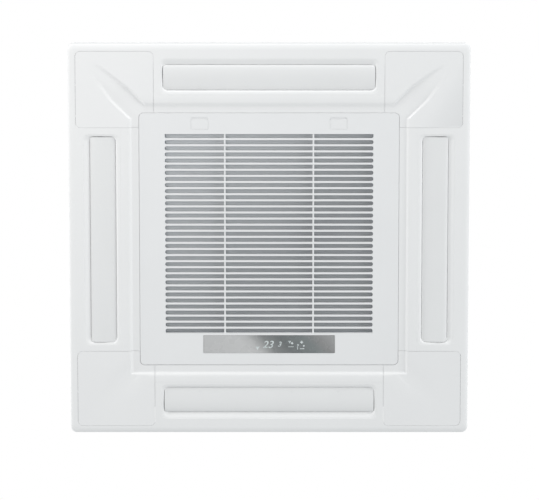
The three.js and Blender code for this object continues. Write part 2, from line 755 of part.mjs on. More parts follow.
function makeDrainPan() {
  const half = bodyHalf - sheet - fitGap;
  const body = octagon(half, bodyChamfer, panBottom, panTop);
  const opening = slab(shapeOf(squareRing(panOpening, 40, 0)), panBottom - 1, panTop + 1);
  const troughInner = coilInner - 5;
  const troughOuter = coilOuter + 7;
  const troughZ = panBottom + 16;
  const trough = slab(shapeOf(squareRing(troughOuter, coilCorner + coilThickness, 0)), troughZ, panTop + 1)
    .subtract(slab(shapeOf(squareRing(troughInner, coilCorner, 0)), panBottom, panTop + 2));
  const sump = block(troughInner + 6, pumpX + 30, troughInner + 6, pumpY + 26, troughZ - 6, panTop + 1);
  const outlets = [0, 1, 2, 3].map((q) => quarterTurn(slab(shapeOf(rectRing(ductInner,
    bodyHalf - linerWall - outletMargin, -slotHalf + outletMargin, slotHalf - outletMargin, 10, 0)),
  panBottom - 1, panTop + 1), q));
  const ribAt = coilInner + coilThickness / 2;
  const ribs = [0, 1, 2, 3].flatMap((q) => [-150, 0, 150].map((along) => quarterTurn(
    block(ribAt - 15, ribAt + 15, along - 5, along + 5, troughZ - overlap, coilBottom - fitGap), q)));
  return join(cut(body, opening, trough, sump, ...outlets), ...ribs);
}

function makeCoil() {
  const ring = slab(shapeOf(squareRing(coilOuter, coilCorner + coilThickness, 0, 4)), coilBottom, coilTop)
    .subtract(slab(shapeOf(squareRing(coilInner, coilCorner, 0, 4)), coilBottom - 1, coilTop + 1));
  return ring.subtract(block(coilEnd, coilOuter + 5, coilEnd, coilOuter + 5, coilBottom - 1, coilTop + 1));
}

// A pipe through hand-set points, as one swept tube.
function pipe(points, radius, sides, steps) {
  const path = new THREE.CatmullRomCurve3(points.map((p) => new THREE.Vector3(...p)), false, 'centripetal');
  const section = new THREE.Shape(Array.from({ length: sides }, (_, k) => new THREE.Vector2(
    radius * Math.cos(2 * Math.PI * k / sides), radius * Math.sin(2 * Math.PI * k / sides))));
  return solid(new THREE.ExtrudeGeometry(section, { steps, extrudePath: path, curveSegments: 1 }));
}

function returnBend(x, z, y) {
  const arc = Array.from({ length: 5 }, (_, k) => {
    const angle = Math.PI * k / 4;
    return [x, y - 1 + (bendRadius + 2) * Math.sin(angle), z - bendRadius * Math.cos(angle)];
  });
  return pipe(arc, bendTube, 5, 4);
}

// End plate of the coil's +X leg with its return bends.
function makeCoilEnd() {
  const from = coilEnd + fitGap;
  const plate = block(coilInner - 3, coilOuter + 3, from, from + endPlate, coilBottom, coilTop);
  const pitch = (coilTop - coilBottom - 2 * bendRadius) / bendCount;
  const bends = Array.from({ length: bendCount }, (_, k) => returnBend(
    coilInner + coilThickness * (k % 2 ? 0.7 : 0.3), coilBottom + pitch * (k + 0.5) + bendRadius,
    from + endPlate));
  return join(plate, ...bends);
}

// End plate of the +Y leg with the two headers; the stubs join the header to the coil.
function makeCoilHeader() {
  const from = coilEnd + fitGap;
  const plate = block(from, from + endPlate, coilInner - 3, coilOuter + 3, coilBottom, coilTop);
  const at = from + headerInset;
  const gas = rod('z', gasRadius, gasZ - 40, coilTop - 12, at, gasLane, 10);
  const liquid = rod('z', liquidRadius, gasZ - 20, coilTop - 22, at, liquidLane, 8);
  const stubs = [0.2, 0.5, 0.8].flatMap((t) => {
    const z = gasZ + (coilTop - 40 - gasZ) * t;
    return [rod('x', 3, from + 1, at, gasLane, z, 6), rod('x', 3, from + 1, at, liquidLane, z + 8, 6)];
  });
  return join(plate, gas, liquid, ...stubs);
}

function makeGasPipe() {
  const x = coilEnd + fitGap + headerInset + gasRadius + fitGap;
  const y = gasLane;
  return pipe([[x, y, gasZ], [x + 30, y, gasZ], [x + 80, pipeY, gasZ], [bodyHalf - 30, pipeY, gasZ],
    [bodyHalf + pipeEnd, pipeY, gasZ]], gasRadius, 10, 7);
}

function makeLiquidPipe() {
  const x = coilEnd + fitGap + headerInset + liquidRadius + fitGap;
  const y = liquidLane;
  return pipe([[x, y, liquidZ], [x + 18, y, liquidZ], [x + 80, pipeY, liquidZ],
    [bodyHalf - 30, pipeY, liquidZ],
    [bodyHalf + pipeEnd, pipeY, liquidZ]], liquidRadius, 8, 8);
}

function flareNut(pipeRadius, z) {
  const start = bodyHalf + 14;
  const body = rod('x', pipeRadius + 7, start, start + 16, pipeY, z, 6);
  const neck = rod('x', pipeRadius + 3, start + 15, start + 26, pipeY, z, 10);
  return join(body, neck).subtract(rod('x', pipeRadius + 2 * fitGap, start - 1, start + 27, pipeY, z, 10));
}

// The plate that closes the pipe opening in the casing's side.
function makePipePlate() {
  const from = bodyHalf + fitGap;
  const plate = block(from, from + 1.5, pipeY - 27, pipeY + 27, gasZ - 36, liquidZ + 36);
  return cut(plate,
    rod('x', gasRadius + 1, from - 1, from + 3, pipeY, gasZ, 12),
    rod('x', liquidRadius + 1, from - 1, from + 3, pipeY, liquidZ, 12));
}

function sumpFloor() {
  return panBottom + 10 + fitGap;
}

function makeDrainPump() {
  const floor = sumpFloor();
  const intake = turned([[0, floor + 3], [8, floor + 3], [8, floor + 34], [0, floor + 34]], 10);
  const volute = turned([[0, floor + 30], [21, floor + 34], [22, floor + 60], [0, floor + 60]], 12);
  const motor = turned([[0, floor + 58], [14, floor + 59], [14, floor + 98], [0, floor + 102]], 10);
  const legs = [[-13, -13], [13, -13], [-13, 13], [13, 13]].map(([dx, dy]) => block(
    dx - 2, dx + 2, dy - 2, dy + 2, floor, floor + 40));
  const arm = block(-42, -10, -4, 4, floor + 52, floor + 56);
  const stem = rod('z', 3, floor + 4, floor + 54, -floatReach, 0, 8);
  const foot = rod('z', 6, floor + 2, floor + 5, -floatReach, 0, 8);
  const outlet = pipe([[17, 0, floor + 54], [18, 0, floor + 75], [spigotX - pumpX, 0, spigotZ - 35],
    [spigotX - pumpX, 10, spigotZ - 8], [spigotX - pumpX, bodyHalf - pumpY - 18, spigotZ]], 5, 8, 9);
  return join(intake, volute, motor, ...legs, arm, stem, foot, outlet).translate([pumpX, pumpY, 0]);
}

function makeFloat() {
  const floor = sumpFloor();
  const ring = turned(closed([[3.6, floor + 6], [11, floor + 7], [11, floor + 21], [3.6, floor + 22]]), 12);
  return ring.translate([pumpX - floatReach, pumpY, 0]);
}

function makeDrainSpigot() {
  const from = bodyHalf - sheet - linerWall - 2;
  const tube = rod('y', spigotRadius, from, bodyHalf + 38, spigotX, spigotZ, 12);
  const flange = rod('y', 20, bodyHalf + fitGap, bodyHalf + 3, spigotX, spigotZ, 12);
  const bead = rod('y', 13.6, bodyHalf + 30, bodyHalf + 34, spigotX, spigotZ, 12);
  return join(tube, flange, bead).subtract(rod('y', 10, from - 1, bodyHalf + 40, spigotX, spigotZ, 12));
}

function makeMotor() {
  const top = motorTop;
  return turned([[0, top - motorBore], [shaftRadius + fitGap, top - motorBore],
    [shaftRadius + fitGap, top - 74], [22, top - 74],
    [25, top - 65], [motorRadius - 5, top - 60], [motorRadius, top - 54], [motorRadius, top - motorEar - 3],
    [96, top - motorEar - 3], [96, top - motorEar], [60, top - motorEar], [54, top], [0, top]], 18);
}

function makeIsolator() {
  const [bottom, top] = [motorTop - motorEar + fitGap, bodyTop - sheet - fitGap];
  const waist = (bottom + top) / 2;
  return turned([[0, bottom], [9, bottom], [6.5, waist], [9, top], [0, top]], 10);
}

function makeShaft() {
  const top = motorTop - motorBore - 2;
  return turned([[0, hubBottom - 15], [shaftRadius - 1, hubBottom - 15], [shaftRadius, hubBottom - 14],
    [shaftRadius, top], [0, top]], 12);
}

function makeFanNut() {
  const bore = rod('z', shaftRadius + fitGap, hubBottom - 20, hubBottom, 0, 0, 12);
  const hex = rod('z', 10.5, hubBottom - 10, hubBottom - fitGap - 1.5, 0, 0, 6);
  const washer = rod('z', 14, hubBottom - 2, hubBottom - fitGap, 0, 0, 12);
  return join(hex, washer).subtract(bore);
}

// Turbo fan: a coned disc, a curved shroud and backward-leaning blades between them.
function fanDisc() {
  const bore = shaftRadius + fitGap;
  const under = [[bore, hubBottom], [18, hubBottom], [20, hubBottom + 14], [40, discTop - 68],
    [62, discTop - 58], [84, discTop - 40], [104, discTop - 17], [122, discTop - 5],
    [fanRadius, discTop - 2.5]];
  const above = [[fanRadius, discTop], [121, discTop - 2.2], [102, discTop - 14.3], [82, discTop - 37.5],
    [60.5, discTop - 55.3], [38, discTop - 65.2], [18, hubBottom + 21], [bore, hubBottom + 21]];
  return turned(closed([...under, ...above]), turnSteps);
}

function shroudCurve() {
  const lip = inletRadius + 8;
  const out = (t) => lip + (fanRadius - lip) * t;
  return [[lip, shroudInletZ], [lip, shroudInletZ + 8], [out(0.08), shroudInletZ + 20],
    [out(0.26), shroudRimZ - 11], [out(0.58), shroudRimZ - 4], [fanRadius, shroudRimZ]];
}

function fanShroud() {
  const wall = 2.4;
  const below = shroudCurve();
  const above = [...below].reverse().map(([radius, z], k) => (
    k < 3 ? [radius - k * 0.7, z + wall] : [radius - wall, z + (k === 3 ? wall / 2 : 0)]));
  return turned(closed([...below, ...above]), turnSteps);
}

// Everything between the shroud and the disc where a blade may be.
function bladeSpace() {
  const [, , low, middle, outer] = shroudCurve();
  const innerRadius = inletRadius - 6;
  const rim = fanRadius - 2;
  return turned(closed([[innerRadius, low[1] + 14], [low[0] - 1.2, low[1] + 1.4],
    [middle[0] - 1, middle[1] + 1.4],
    [outer[0], outer[1] + 1.2], [rim, shroudRimZ + 1.2], [rim, discTop - 1.3],
    [innerRadius, discTop - 3.4]]), turnSteps);
}

function bladeShape() {
  const inner = inletRadius - 10;
  const outer = fanRadius + 2;
  const steps = 4;
  const side = (sign) => Array.from({ length: steps + 1 }, (_, k) => {
    const t = k / steps;
    const radius = inner + (outer - inner) * t;
    const angle = -bladeSweep * t ** 1.25;
    const half = sign * bladeThickness * (0.5 - 0.25 * t);
    return new THREE.Vector2(
      radius * Math.cos(angle) - half * Math.sin(angle - 0.6),
      radius * Math.sin(angle) + half * Math.cos(angle - 0.6));
  });
  return new THREE.Shape([...side(-1), ...side(1).reverse()]);
}

function makeTurboFan() {
  const blade = slab(bladeShape(), shroudInletZ, discTop).intersect(bladeSpace());
  const blades = Array.from({ length: bladeCount }, (_, k) => blade.rotate([0, 0, 360 * k / bladeCount]));
  return join(fanDisc(), fanShroud(), ...blades);
}

function makeBellMouth() {
  const r = inletRadius;
  const z = bellPlateZ;
  const throat = turned(closed([[r + 44, z + bellWall - 0.4], [r + 13, z + 12.3], [r + 2, z + 39],
    [r + 2, shroudInletZ + 10], [r, shroudInletZ + 10], [r, z + 38], [r + 3, z + 22], [r + 11, z + 10],
    [r + 26, z + 2.4], [r + 44, z + 0.4]]), turnSteps);
  const half = panOpening - 2;
  const corner = 38;
  const hole = turned([[0, z - 1], [r + 38, z - 1], [r + 38, z + 5], [0, z + 5]], 20);
  const tray = slab(shapeOf(squareRing(half, corner, 0)), panBottom - 2.3, z + bellWall)
    .subtract(slab(shapeOf(squareRing(half - 2, corner - 2, 0)), panBottom - 4, z));
  const flange = slab(shapeOf(squareRing(half + 11, corner + 11, 0)), panBottom - 2.3, panBottom - fitGap)
    .subtract(slab(shapeOf(squareRing(half - 1, corner - 1, 0)), panBottom - 4, panBottom));
  return join(tray.subtract(hole), throat, flange);
}

// Control box beside the inlet on the -X side, open at the bottom for its cover.
function boxSpan() {
  const outer = -(panOpening - 4 - fitGap);
  return [outer, outer + boxDepth];
}

function makeControlBox() {
  const [x0, x1] = boxSpan();
  const top = bellPlateZ - fitGap;
  const y = boxHalfLength;
  const tray = block(x0, x1, -y, y, boxBottom, top).subtract(
    block(x0 + sheet, x1 - sheet, -y + sheet, y - sheet, boxBottom - 1, top - sheet));
  const posts = [[0.25, -0.85], [0.75, -0.85], [0.25, 0.3], [0.75, 0.3]].map(([u, v]) => rod('z', 3,
    top - sheet - 7, top - sheet + overlap, x0 + (x1 - x0) * u, y * v, 8));
  const cable = rod('y', 7, y - 3, y + 3, (x0 + x1) / 2, boxBottom + 13, 10);
  return cut(join(tray, ...posts), cable);
}

function makeControlCover() {
  const [x0, x1] = boxSpan();
  const y = boxHalfLength;
  const plate = block(x0, x1, -y, y, boxBottom - fitGap - sheet, boxBottom - fitGap);
  const lip = block(x0 + sheet + 1, x1 - sheet - 1, -y + sheet + 1, y - sheet - 1, boxBottom - fitGap - 0.5,
    boxBottom + 3);
  const hollow = block(x0 + sheet + 2.2, x1 - sheet - 2.2, -y + sheet + 2.2, y - sheet - 2.2,
    boxBottom - fitGap, boxBottom + 4);
  return join(plate, lip.subtract(hollow));
}

function makeCircuitBoard() {
  const [x0, x1] = boxSpan();
  const top = bellPlateZ - sheet - 7 - 2 * fitGap;
  const board = block(x0 + 5, x1 - 5, -boxHalfLength + 8, boxHalfLength * 0.42, top - boardThickness, top);
  const parts = [[-120, 12, 9], [-60, 16, 12], [0, 10, 8], [40, 14, 6]].map(([y, half, height]) => block(
    (x0 + x1) / 2 - half, (x0 + x1) / 2 + half, y - half, y + half, top - boardThickness - height, top - 1));
  return join(board, ...parts);
}

function makeTerminalBlock() {
  const [x0, x1] = boxSpan();
  const top = bellPlateZ - sheet - 2 * fitGap;
  const body = block(x0 + 8, x1 - 8, boxHalfLength * 0.52, boxHalfLength * 0.86, top - 14, top);
  const ways = [0, 1, 2].map((k) => block(x0 + 12 + 11 * k, x0 + 19 + 11 * k, boxHalfLength * 0.54,
    boxHalfLength * 0.84, top - 15, top - 8));
  return cut(body, ...ways);
}

// Assembly

const unit = new THREE.Group();

function meshOf(name, body, finish) {
  const { vertProperties, triVerts } = body.asOriginal().simplify(mergeTolerance).getMesh();
  const geometry = new THREE.BufferGeometry();
  geometry.setAttribute('position', new THREE.Float32BufferAttribute(vertProperties, 3));
  geometry.setIndex(Array.from(triVerts));
  const faceted = geometry.toNonIndexed();
  faceted.computeVertexNormals();
  const mesh = new THREE.Mesh(faceted, new THREE.MeshStandardMaterial(finish));
  mesh.name = name;
  return mesh;
}

function add(name, body, finish, parent = unit) {
  const mesh = meshOf(name, body, finish);
  parent.add(mesh);
  return mesh;
}

function quarterGroup(quarter) {
  const group = new THREE.Group();
  group.rotation.z = quarter * Math.PI / 2;
  unit.add(group);
  return group;
}

function addPanel() {
  add('panel_frame', makePanelFrame(), white);
  add('panel_seal', makePanelSeal(), foam);
  const cover = makeCornerCover();
  const vane = makeVane();
  const stepper = makeVaneStepper();
  const bush = makeVaneBush();
  for (let side = 1; side <= 4; side += 1) {
    const group = quarterGroup(side - 1);
    add(`corner_cover_${side}`, cover, white, group);
    const pivot = new THREE.Group();
    pivot.position.set(vaneInner + vanePivotInset, 0, vanePivotZ);
    group.add(pivot);
    add(`vane_${side}`, vane, vaneWhite, pivot);
    add(`vane_stepper_${side}`, stepper, mechanism, pivot);
    add(`vane_bush_${side}`, bush, greyPlastic, pivot);
  }
}

function addGrille() {
  add('intake_grille', makeIntakeGrille(), white);
  const latch = makeLatch();
  add('latch_left', latch, white).position.x = -latchAt;
  add('latch_right', latch, white).position.x = latchAt;
  add('display_window', makeDisplayWindow(), smoked);
  add('display_board', makeDisplayBoard(), boardGreen);
  add('filter_frame', makeFilterFrame(), darkPlastic);
  add('filter_net', makeFilterNet(), netBlack);
}

function addBody() {
  add('cabinet_casing', makeCabinet(), zinc);
  add('foam_liner', makeLiner(), foam);
  add('drain_pan', makeDrainPan(), foam);
  const hanger = makeHanger();
  const cornerAt = (2 * bodyHalf - bodyChamfer) * Math.SQRT1_2 + fitGap;
  for (let corner = 1; corner <= 4; corner += 1) {
    const group = new THREE.Group();
    group.rotation.z = (corner - 1.5) * Math.PI / 2;
    unit.add(group);
    add(`hanger_${corner}`, hanger, zinc, group).position.set(0, cornerAt, hangerZ);
  }
}

function addFan() {
  add('fan_motor', makeMotor(), steel);
  const isolator = makeIsolator();
  for (let k = 1; k <= 3; k += 1) {
    const angle = 2 * Math.PI * k / 3;
    const mark = add(`motor_isolator_${k}`, isolator, rubber);
    mark.position.set(isolatorReach * Math.cos(angle), isolatorReach * Math.sin(angle), 0);
  }
  add('fan_shaft', makeShaft(), steel);
  add('turbo_fan', makeTurboFan(), mechanism);
  add('fan_nut', makeFanNut(), zinc);
  add('bell_mouth', makeBellMouth(), mechanism);
}

function addCooling() {
  add('coil_fins', makeCoil(), finMetal);
  add('coil_return_end', makeCoilEnd(), copper);
  add('coil_header_end', makeCoilHeader(), copper);
  add('gas_pipe', makeGasPipe(), copper);
  add('liquid_pipe', makeLiquidPipe(), copper);
  add('gas_flare_nut', flareNut(gasRadius, gasZ), brass);
  add('liquid_flare_nut', flareNut(liquidRadius, liquidZ), brass);
  add('pipe_plate', makePipePlate(), zinc);
  add('drain_pump', makeDrainPump(), mechanism);
  add('drain_float', makeFloat(), mechanism);
  add('drain_spigot', makeDrainSpigot(), greyPlastic);
}

function addControls() {
  add('control_box', makeControlBox(), zinc);
  add('control_cover', makeControlCover(), zinc);
  add('circuit_board', makeCircuitBoard(), boardGreen);
  add('terminal_block', makeTerminalBlock(), greyPlastic);
}

addPanel();
addGrille();
addBody();
addFan();
addCooling();
addControls();

export default unit;
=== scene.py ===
import json
import math
import bmesh
import bpy
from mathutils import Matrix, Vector

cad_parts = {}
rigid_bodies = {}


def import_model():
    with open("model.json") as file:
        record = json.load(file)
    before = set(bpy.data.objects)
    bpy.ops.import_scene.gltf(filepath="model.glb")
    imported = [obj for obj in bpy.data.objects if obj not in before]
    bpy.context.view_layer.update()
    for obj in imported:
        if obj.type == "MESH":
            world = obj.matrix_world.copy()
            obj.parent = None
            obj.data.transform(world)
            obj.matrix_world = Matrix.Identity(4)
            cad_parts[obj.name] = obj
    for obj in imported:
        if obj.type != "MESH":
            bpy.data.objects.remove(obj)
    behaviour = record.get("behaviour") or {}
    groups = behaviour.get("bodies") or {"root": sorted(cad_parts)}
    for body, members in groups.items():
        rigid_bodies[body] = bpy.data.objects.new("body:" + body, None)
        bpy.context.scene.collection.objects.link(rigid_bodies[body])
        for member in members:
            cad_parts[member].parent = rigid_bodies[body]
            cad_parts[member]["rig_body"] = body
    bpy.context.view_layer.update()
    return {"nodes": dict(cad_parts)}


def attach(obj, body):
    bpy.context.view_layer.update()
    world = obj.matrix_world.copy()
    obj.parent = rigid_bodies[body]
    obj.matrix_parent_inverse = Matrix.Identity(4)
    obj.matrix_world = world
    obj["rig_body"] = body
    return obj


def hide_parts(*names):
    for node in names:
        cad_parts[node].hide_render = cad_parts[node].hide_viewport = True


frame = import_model()
nodes = frame["nodes"]
print("stage: frame loaded,", len(nodes), "nodes")

# camera: a long lens far below the ceiling, looking up and a little towards the display side; mm and degrees
viewPoint = {"lens": 340, "distance": 12100, "tilt": 13.7, "aimRight": 0.95, "aimUp": -23.3}
# lamps: place in mm, size in mm, watts
lamps = {
    "highLamp": {"place": (0, -4600, -1250), "size": 1600, "power": 66},
    "rightLamp": {"place": (5000, -500, -1500), "size": 2200, "power": 98},
    "leftLamp": {"place": (-8000, 0, -1050), "size": 1500, "power": 150},
    "lowLamp": {"place": (0, 8000, -1000), "size": 1400, "power": 42},
    "nearLamp": {"place": (-1700, -1200, -1900), "size": 1400, "power": 18, "tint": (1, 0.95, 0.92)},
    "topLamp": {"place": (1500, -1700, 2600), "size": 1800, "power": 10},
    "backLamp": {"place": (-2200, 1500, 2200), "size": 1800, "power": 12},
}
stageSize = {"floorZ": -230, "floorHalf": 12000, "world": 0.585, "sky": (0.96, 1, 1.018)}


def deselectAll():
    if bpy.context.mode != "OBJECT":
        bpy.ops.object.mode_set(mode="OBJECT")
    bpy.ops.object.select_all(action="DESELECT")


def activate(piece):
    deselectAll()
    piece.select_set(True)
    bpy.context.view_layer.objects.active = piece


def named(name):
    piece = bpy.context.active_object
    piece.name = name
    piece.data.name = name
    bpy.ops.object.transform_apply(location=True, rotation=True, scale=True)
    return piece


def addObject(name, data):
    piece = bpy.data.objects.new(name, data)
    bpy.context.scene.collection.objects.link(piece)
    return piece


def box(name, xs, ys, zs, corner=0, segments=6):
    # a box between pairs of mm, with its upright edges rounded
    deselectAll()
    centre = [(a + b) / 2000 for a, b in (xs, ys, zs)]
    size = [(b - a) / 1000 for a, b in (xs, ys, zs)]
    bpy.ops.mesh.primitive_cube_add(size=1, location=centre, scale=size)
    piece = named(name)
    if corner:
        roundEdges(piece, isUpright, corner, segments)
    return piece


def square(name, half, low, high, corner=0, segments=6):
    return box(name, (-half, half), (-half, half), (low, high), corner, segments)


def around(centre, half):
    return centre - half, centre + half


def rod(name, radius, ends, at, axis="Z", sides=32):
    # a round bar of that radius along an axis, between two mm; at is its place on the other two axes, in x y z order
    deselectAll()
    middle = sum(ends) / 2
    place = {"X": (middle, at[0], at[1]), "Y": (at[0], middle, at[1]), "Z": (at[0], at[1], middle)}[axis]
    turn = {"X": (0, math.pi / 2, 0), "Y": (math.pi / 2, 0, 0), "Z": (0, 0, 0)}[axis]
    bpy.ops.mesh.primitive_cylinder_add(vertices=sides, radius=radius / 1000, depth=(ends[1] - ends[0]) / 1000,
                                        location=[v / 1000 for v in place], rotation=turn)
    return named(name)


def middle(item):
    # the middle of a face, edge or vertex, in mm
    if hasattr(item, "calc_center_median"):
        return item.calc_center_median() * 1000
    if hasattr(item, "co"):
        return item.co * 1000
    return (item.verts[0].co + item.verts[1].co) * 500


def choose(piece, kind, test):
    # edit mode with the faces, edges or verts that pass the test selected
    activate(piece)
    bpy.ops.object.mode_set(mode="EDIT")
    bpy.ops.mesh.select_mode(type={"faces": "FACE", "edges": "EDGE", "verts": "VERT"}[kind])
    bpy.ops.mesh.select_all(action="DESELECT")
    shape = bmesh.from_edit_mesh(piece.data)
    count = 0
    for item in getattr(shape, kind):
        if test(item):
            item.select_set(True)
            count += 1
    bmesh.update_edit_mesh(piece.data)
    return count


def isUpright(edge):
    a, b = edge.verts
    return abs(a.co.x - b.co.x) < 1e-5 and abs(a.co.y - b.co.y) < 1e-5


def facesUp(face):
    return face.normal.z > 0.9


def along(edge, axis):
    a, b = edge.verts
    way = b.co - a.co
    return abs(way[axis]) > 0.98 * way.length


def roundEdges(piece, test, width, segments=4):
    if choose(piece, "edges", test):
        bpy.ops.mesh.bevel(offset=width / 1000, segments=segments, profile=0.5, affect="EDGES")
    deselectAll()


def moveChosen(piece, kind, test, by):
    choose(piece, kind, test)
    bpy.ops.transform.translate(value=[v / 1000 for v in by])
    deselectAll()


def stretch(piece, kind, test, factor, centre):
    choose(piece, kind, test)
    bpy.ops.transform.resize(value=factor, center_override=[v / 1000 for v in centre])
    deselectAll()


def liftFaces(piece, test, steps):
    # extrudes the chosen faces; each step is (shift in mm, factor, centre in mm)
    choose(piece, "faces", test)
    for shift, factor, centre in steps:
        bpy.ops.mesh.extrude_region_move(TRANSFORM_OT_translate={"value": [v / 1000 for v in shift]})
        bpy.ops.transform.resize(value=factor, center_override=[v / 1000 for v in centre])
    deselectAll()


def squareSteps(rings):
    # steps for liftFaces that widen or narrow a centred face; a ring is its z and its half width
    return [((0, 0, nextZ - z), (nextHalf / half, nextHalf / half, 1), (0, 0, nextZ))
            for (z, half), (nextZ, nextHalf) in zip(rings, rings[1:])]


def insetFaces(piece, test, *rims):
    # each rim is its width and depth in mm
    choose(piece, "faces", test)
    for width, depth in rims:
        bpy.ops.mesh.inset(thickness=width / 1000, depth=depth / 1000)
    deselectAll()


def turned(piece, degrees):
    # turned about the middle of the unit
    piece.rotation_euler.z = math.radians(degrees)
    activate(piece)
    return named(piece.name)


def discard(*pieces):
    for piece in pieces:
        bpy.data.objects.remove(piece, do_unlink=True)


def modify(piece, kind, **settings):
    # adds a modifier with those settings and applies it
    activate(piece)
    change = piece.modifiers.new("change", kind)
    for label, value in settings.items():
        setattr(change, label, value)
    bpy.ops.object.modifier_apply(modifier=change.name)


def combine(piece, tool, operation):
    modify(piece, "BOOLEAN", operation=operation, solver="EXACT", object=tool)
    discard(tool)
    return piece


def cut(piece, *tools):
    for tool in tools:
        combine(piece, tool, "DIFFERENCE")
    return piece


def copyOf(piece, name, quarter=0, shift=(0, 0, 0)):
    # a copy with its own mesh, turned by quarter turns about the middle of the unit and moved by mm
    activate(piece)
    bpy.ops.object.duplicate()
    copy = bpy.context.active_object
    copy.rotation_euler.z = math.radians(90 * quarter)
    copy.location = [v / 1000 for v in shift]
    return named(name)


def joined(name, pieces):
    deselectAll()
    for piece in pieces:
        piece.select_set(True)
    bpy.context.view_layer.objects.active = pieces[0]
    bpy.ops.object.join()
    piece = bpy.context.active_object
    piece.name = piece.data.name = name
    return piece


def finishEdges(piece, width, segments=2, angle=28, smooth=34):
    # breaks the sharp edges and shades the round ones smooth, with the flats kept flat
    activate(piece)
    if width:
        modify(piece, "BEVEL", width=width / 1000, segments=segments, limit_method="ANGLE",
               angle_limit=math.radians(angle), miter_outer="MITER_ARC")
    bpy.ops.object.shade_smooth_by_angle(angle=math.radians(smooth))
    modify(piece, "WEIGHTED_NORMAL", keep_sharp=True)
    return piece


def settle(piece, body, look, *replaced):
    piece.data.materials.clear()
    piece.data.materials.append(looks[look])
    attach(piece, body)
    if replaced:
        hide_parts(*replaced)
    return piece


def newGroup(name, inputs, outputs):
    # inputs are given with their defaults, and a tuple is a colour; of the outputs only Color is one
    group = bpy.data.node_groups.new(name, "ShaderNodeTree")
    kinds = {True: "NodeSocketColor", False: "NodeSocketFloat"}
    for label, value in inputs.items():
        kind = kinds[isinstance(value, tuple)]
        group.interface.new_socket(name=label, in_out="INPUT", socket_type=kind).default_value = value
    for label in outputs:
        group.interface.new_socket(name=label, in_out="OUTPUT", socket_type=kinds[label == "Color"])
    return group, group.nodes.new("NodeGroupInput").outputs, group.nodes.new("NodeGroupOutput").inputs


def link(tree, source, target):
    # source is an output, or a plain value for the target
    if hasattr(source, "links"):
        tree.links.new(source, target)
    else:
        target.default_value = source


def placeOn(tree):
    return tree.nodes.new("ShaderNodeTexCoord").outputs["Object"]


def partsOf(tree, vector):
    split = tree.nodes.new("ShaderNodeSeparateXYZ")
    link(tree, vector, split.inputs[0])
    return split.outputs


def noiseOn(tree, coordinates, scale, detail=3.0):
    noise = tree.nodes.new("ShaderNodeTexNoise")
    noise.inputs["Detail"].default_value = detail
    link(tree, coordinates, noise.inputs["Vector"])
    link(tree, scale, noise.inputs["Scale"])
    return noise.outputs["Fac"]


def spread(tree, value, low, high, fromLow=0.3, fromHigh=0.7):
    mapped = tree.nodes.new("ShaderNodeMapRange")
    link(tree, value, mapped.inputs["Value"])
    for label, end in (("From Min", fromLow), ("From Max", fromHigh), ("To Min", low), ("To Max", high)):
        link(tree, end, mapped.inputs[label])
    return mapped.outputs["Result"]


def blendColours(tree, factor, first, second):
    mix = tree.nodes.new("ShaderNodeMix")
    mix.data_type = "RGBA"
    link(tree, factor, mix.inputs[0])
    link(tree, first, mix.inputs[6])
    link(tree, second, mix.inputs[7])
    return mix.outputs[2]


def calculate(tree, operation, first, second):
    node = tree.nodes.new("ShaderNodeMath")
    node.operation = operation
    link(tree, first, node.inputs[0])
    link(tree, second, node.inputs[1])
    return node.outputs[0]


def times(tree, first, second):
    return calculate(tree, "MULTIPLY", first, second)


def makeSkinGroup():
    # moulded or cast skin: slow patches of tone, a fine grain and a roughness that wanders
    group, given, out = newGroup("mouldedSkin", {
        "Light": (0.8, 0.8, 0.8, 1), "Shade": (0.7, 0.7, 0.7, 1), "Patch Scale": 6.0, "Grain Scale": 1500.0,
        "Smooth": 0.35, "Rough": 0.5}, ["Color", "Roughness", "Height"])
    place = placeOn(group)
    patch = noiseOn(group, place, given["Patch Scale"], 2.0)
    grain = noiseOn(group, place, given["Grain Scale"], 2.0)
    link(group, blendColours(group, spread(group, patch, 0, 1), given["Light"], given["Shade"]),
         out["Color"])
    link(group, spread(group, patch, given["Smooth"], given["Rough"]), out["Roughness"])
    link(group, grain, out["Height"])
    return group


def makeDustGroup():
    # dust that settles on what faces up
    group, given, out = newGroup("settledDust", {
        "Color": (0.8, 0.8, 0.8, 1), "Dust": (0.4, 0.38, 0.34, 1), "Amount": 0.2}, ["Color", "Mask"])
    place = placeOn(group)
    normal = group.nodes.new("ShaderNodeNewGeometry").outputs["Normal"]
    facing = spread(group, partsOf(group, normal)["Z"], 0, 1, 0.2, 0.95)
    drift = spread(group, noiseOn(group, place, 9.0, 6.0), 0.2, 1, 0.35, 0.65)
    mask = times(group, times(group, facing, drift), given["Amount"])
    link(group, blendColours(group, mask, given["Color"], given["Dust"]), out["Color"])
    link(group, mask, out["Mask"])
    return group


def makeSpangleGroup():
    # the frost-flower grains of hot-dip zinc
    group, given, out = newGroup("zincSpangle", {
        "Bright": (0.62, 0.63, 0.64, 1), "Dull": (0.45, 0.46, 0.47, 1), "Grain Scale": 60.0},
                                 ["Color", "Roughness", "Height"])
    place = placeOn(group)
    cells = group.nodes.new("ShaderNodeTexVoronoi")
    link(group, place, cells.inputs["Vector"])
    link(group, given["Grain Scale"], cells.inputs["Scale"])
    tone = group.nodes.new("ShaderNodeSeparateColor")
    link(group, cells.outputs["Color"], tone.inputs[0])
    stain = noiseOn(group, place, 5.0, 4.0)
    both = calculate(group, "ADD", times(group, tone.outputs[0], 0.55),
                     times(group, stain, 0.55))
    link(group, blendColours(group, both, given["Bright"], given["Dull"]), out["Color"])
    link(group, spread(group, tone.outputs[1], 0.34, 0.5, 0, 1), out["Roughness"])
    link(group, tone.outputs[2], out["Height"])
    return group


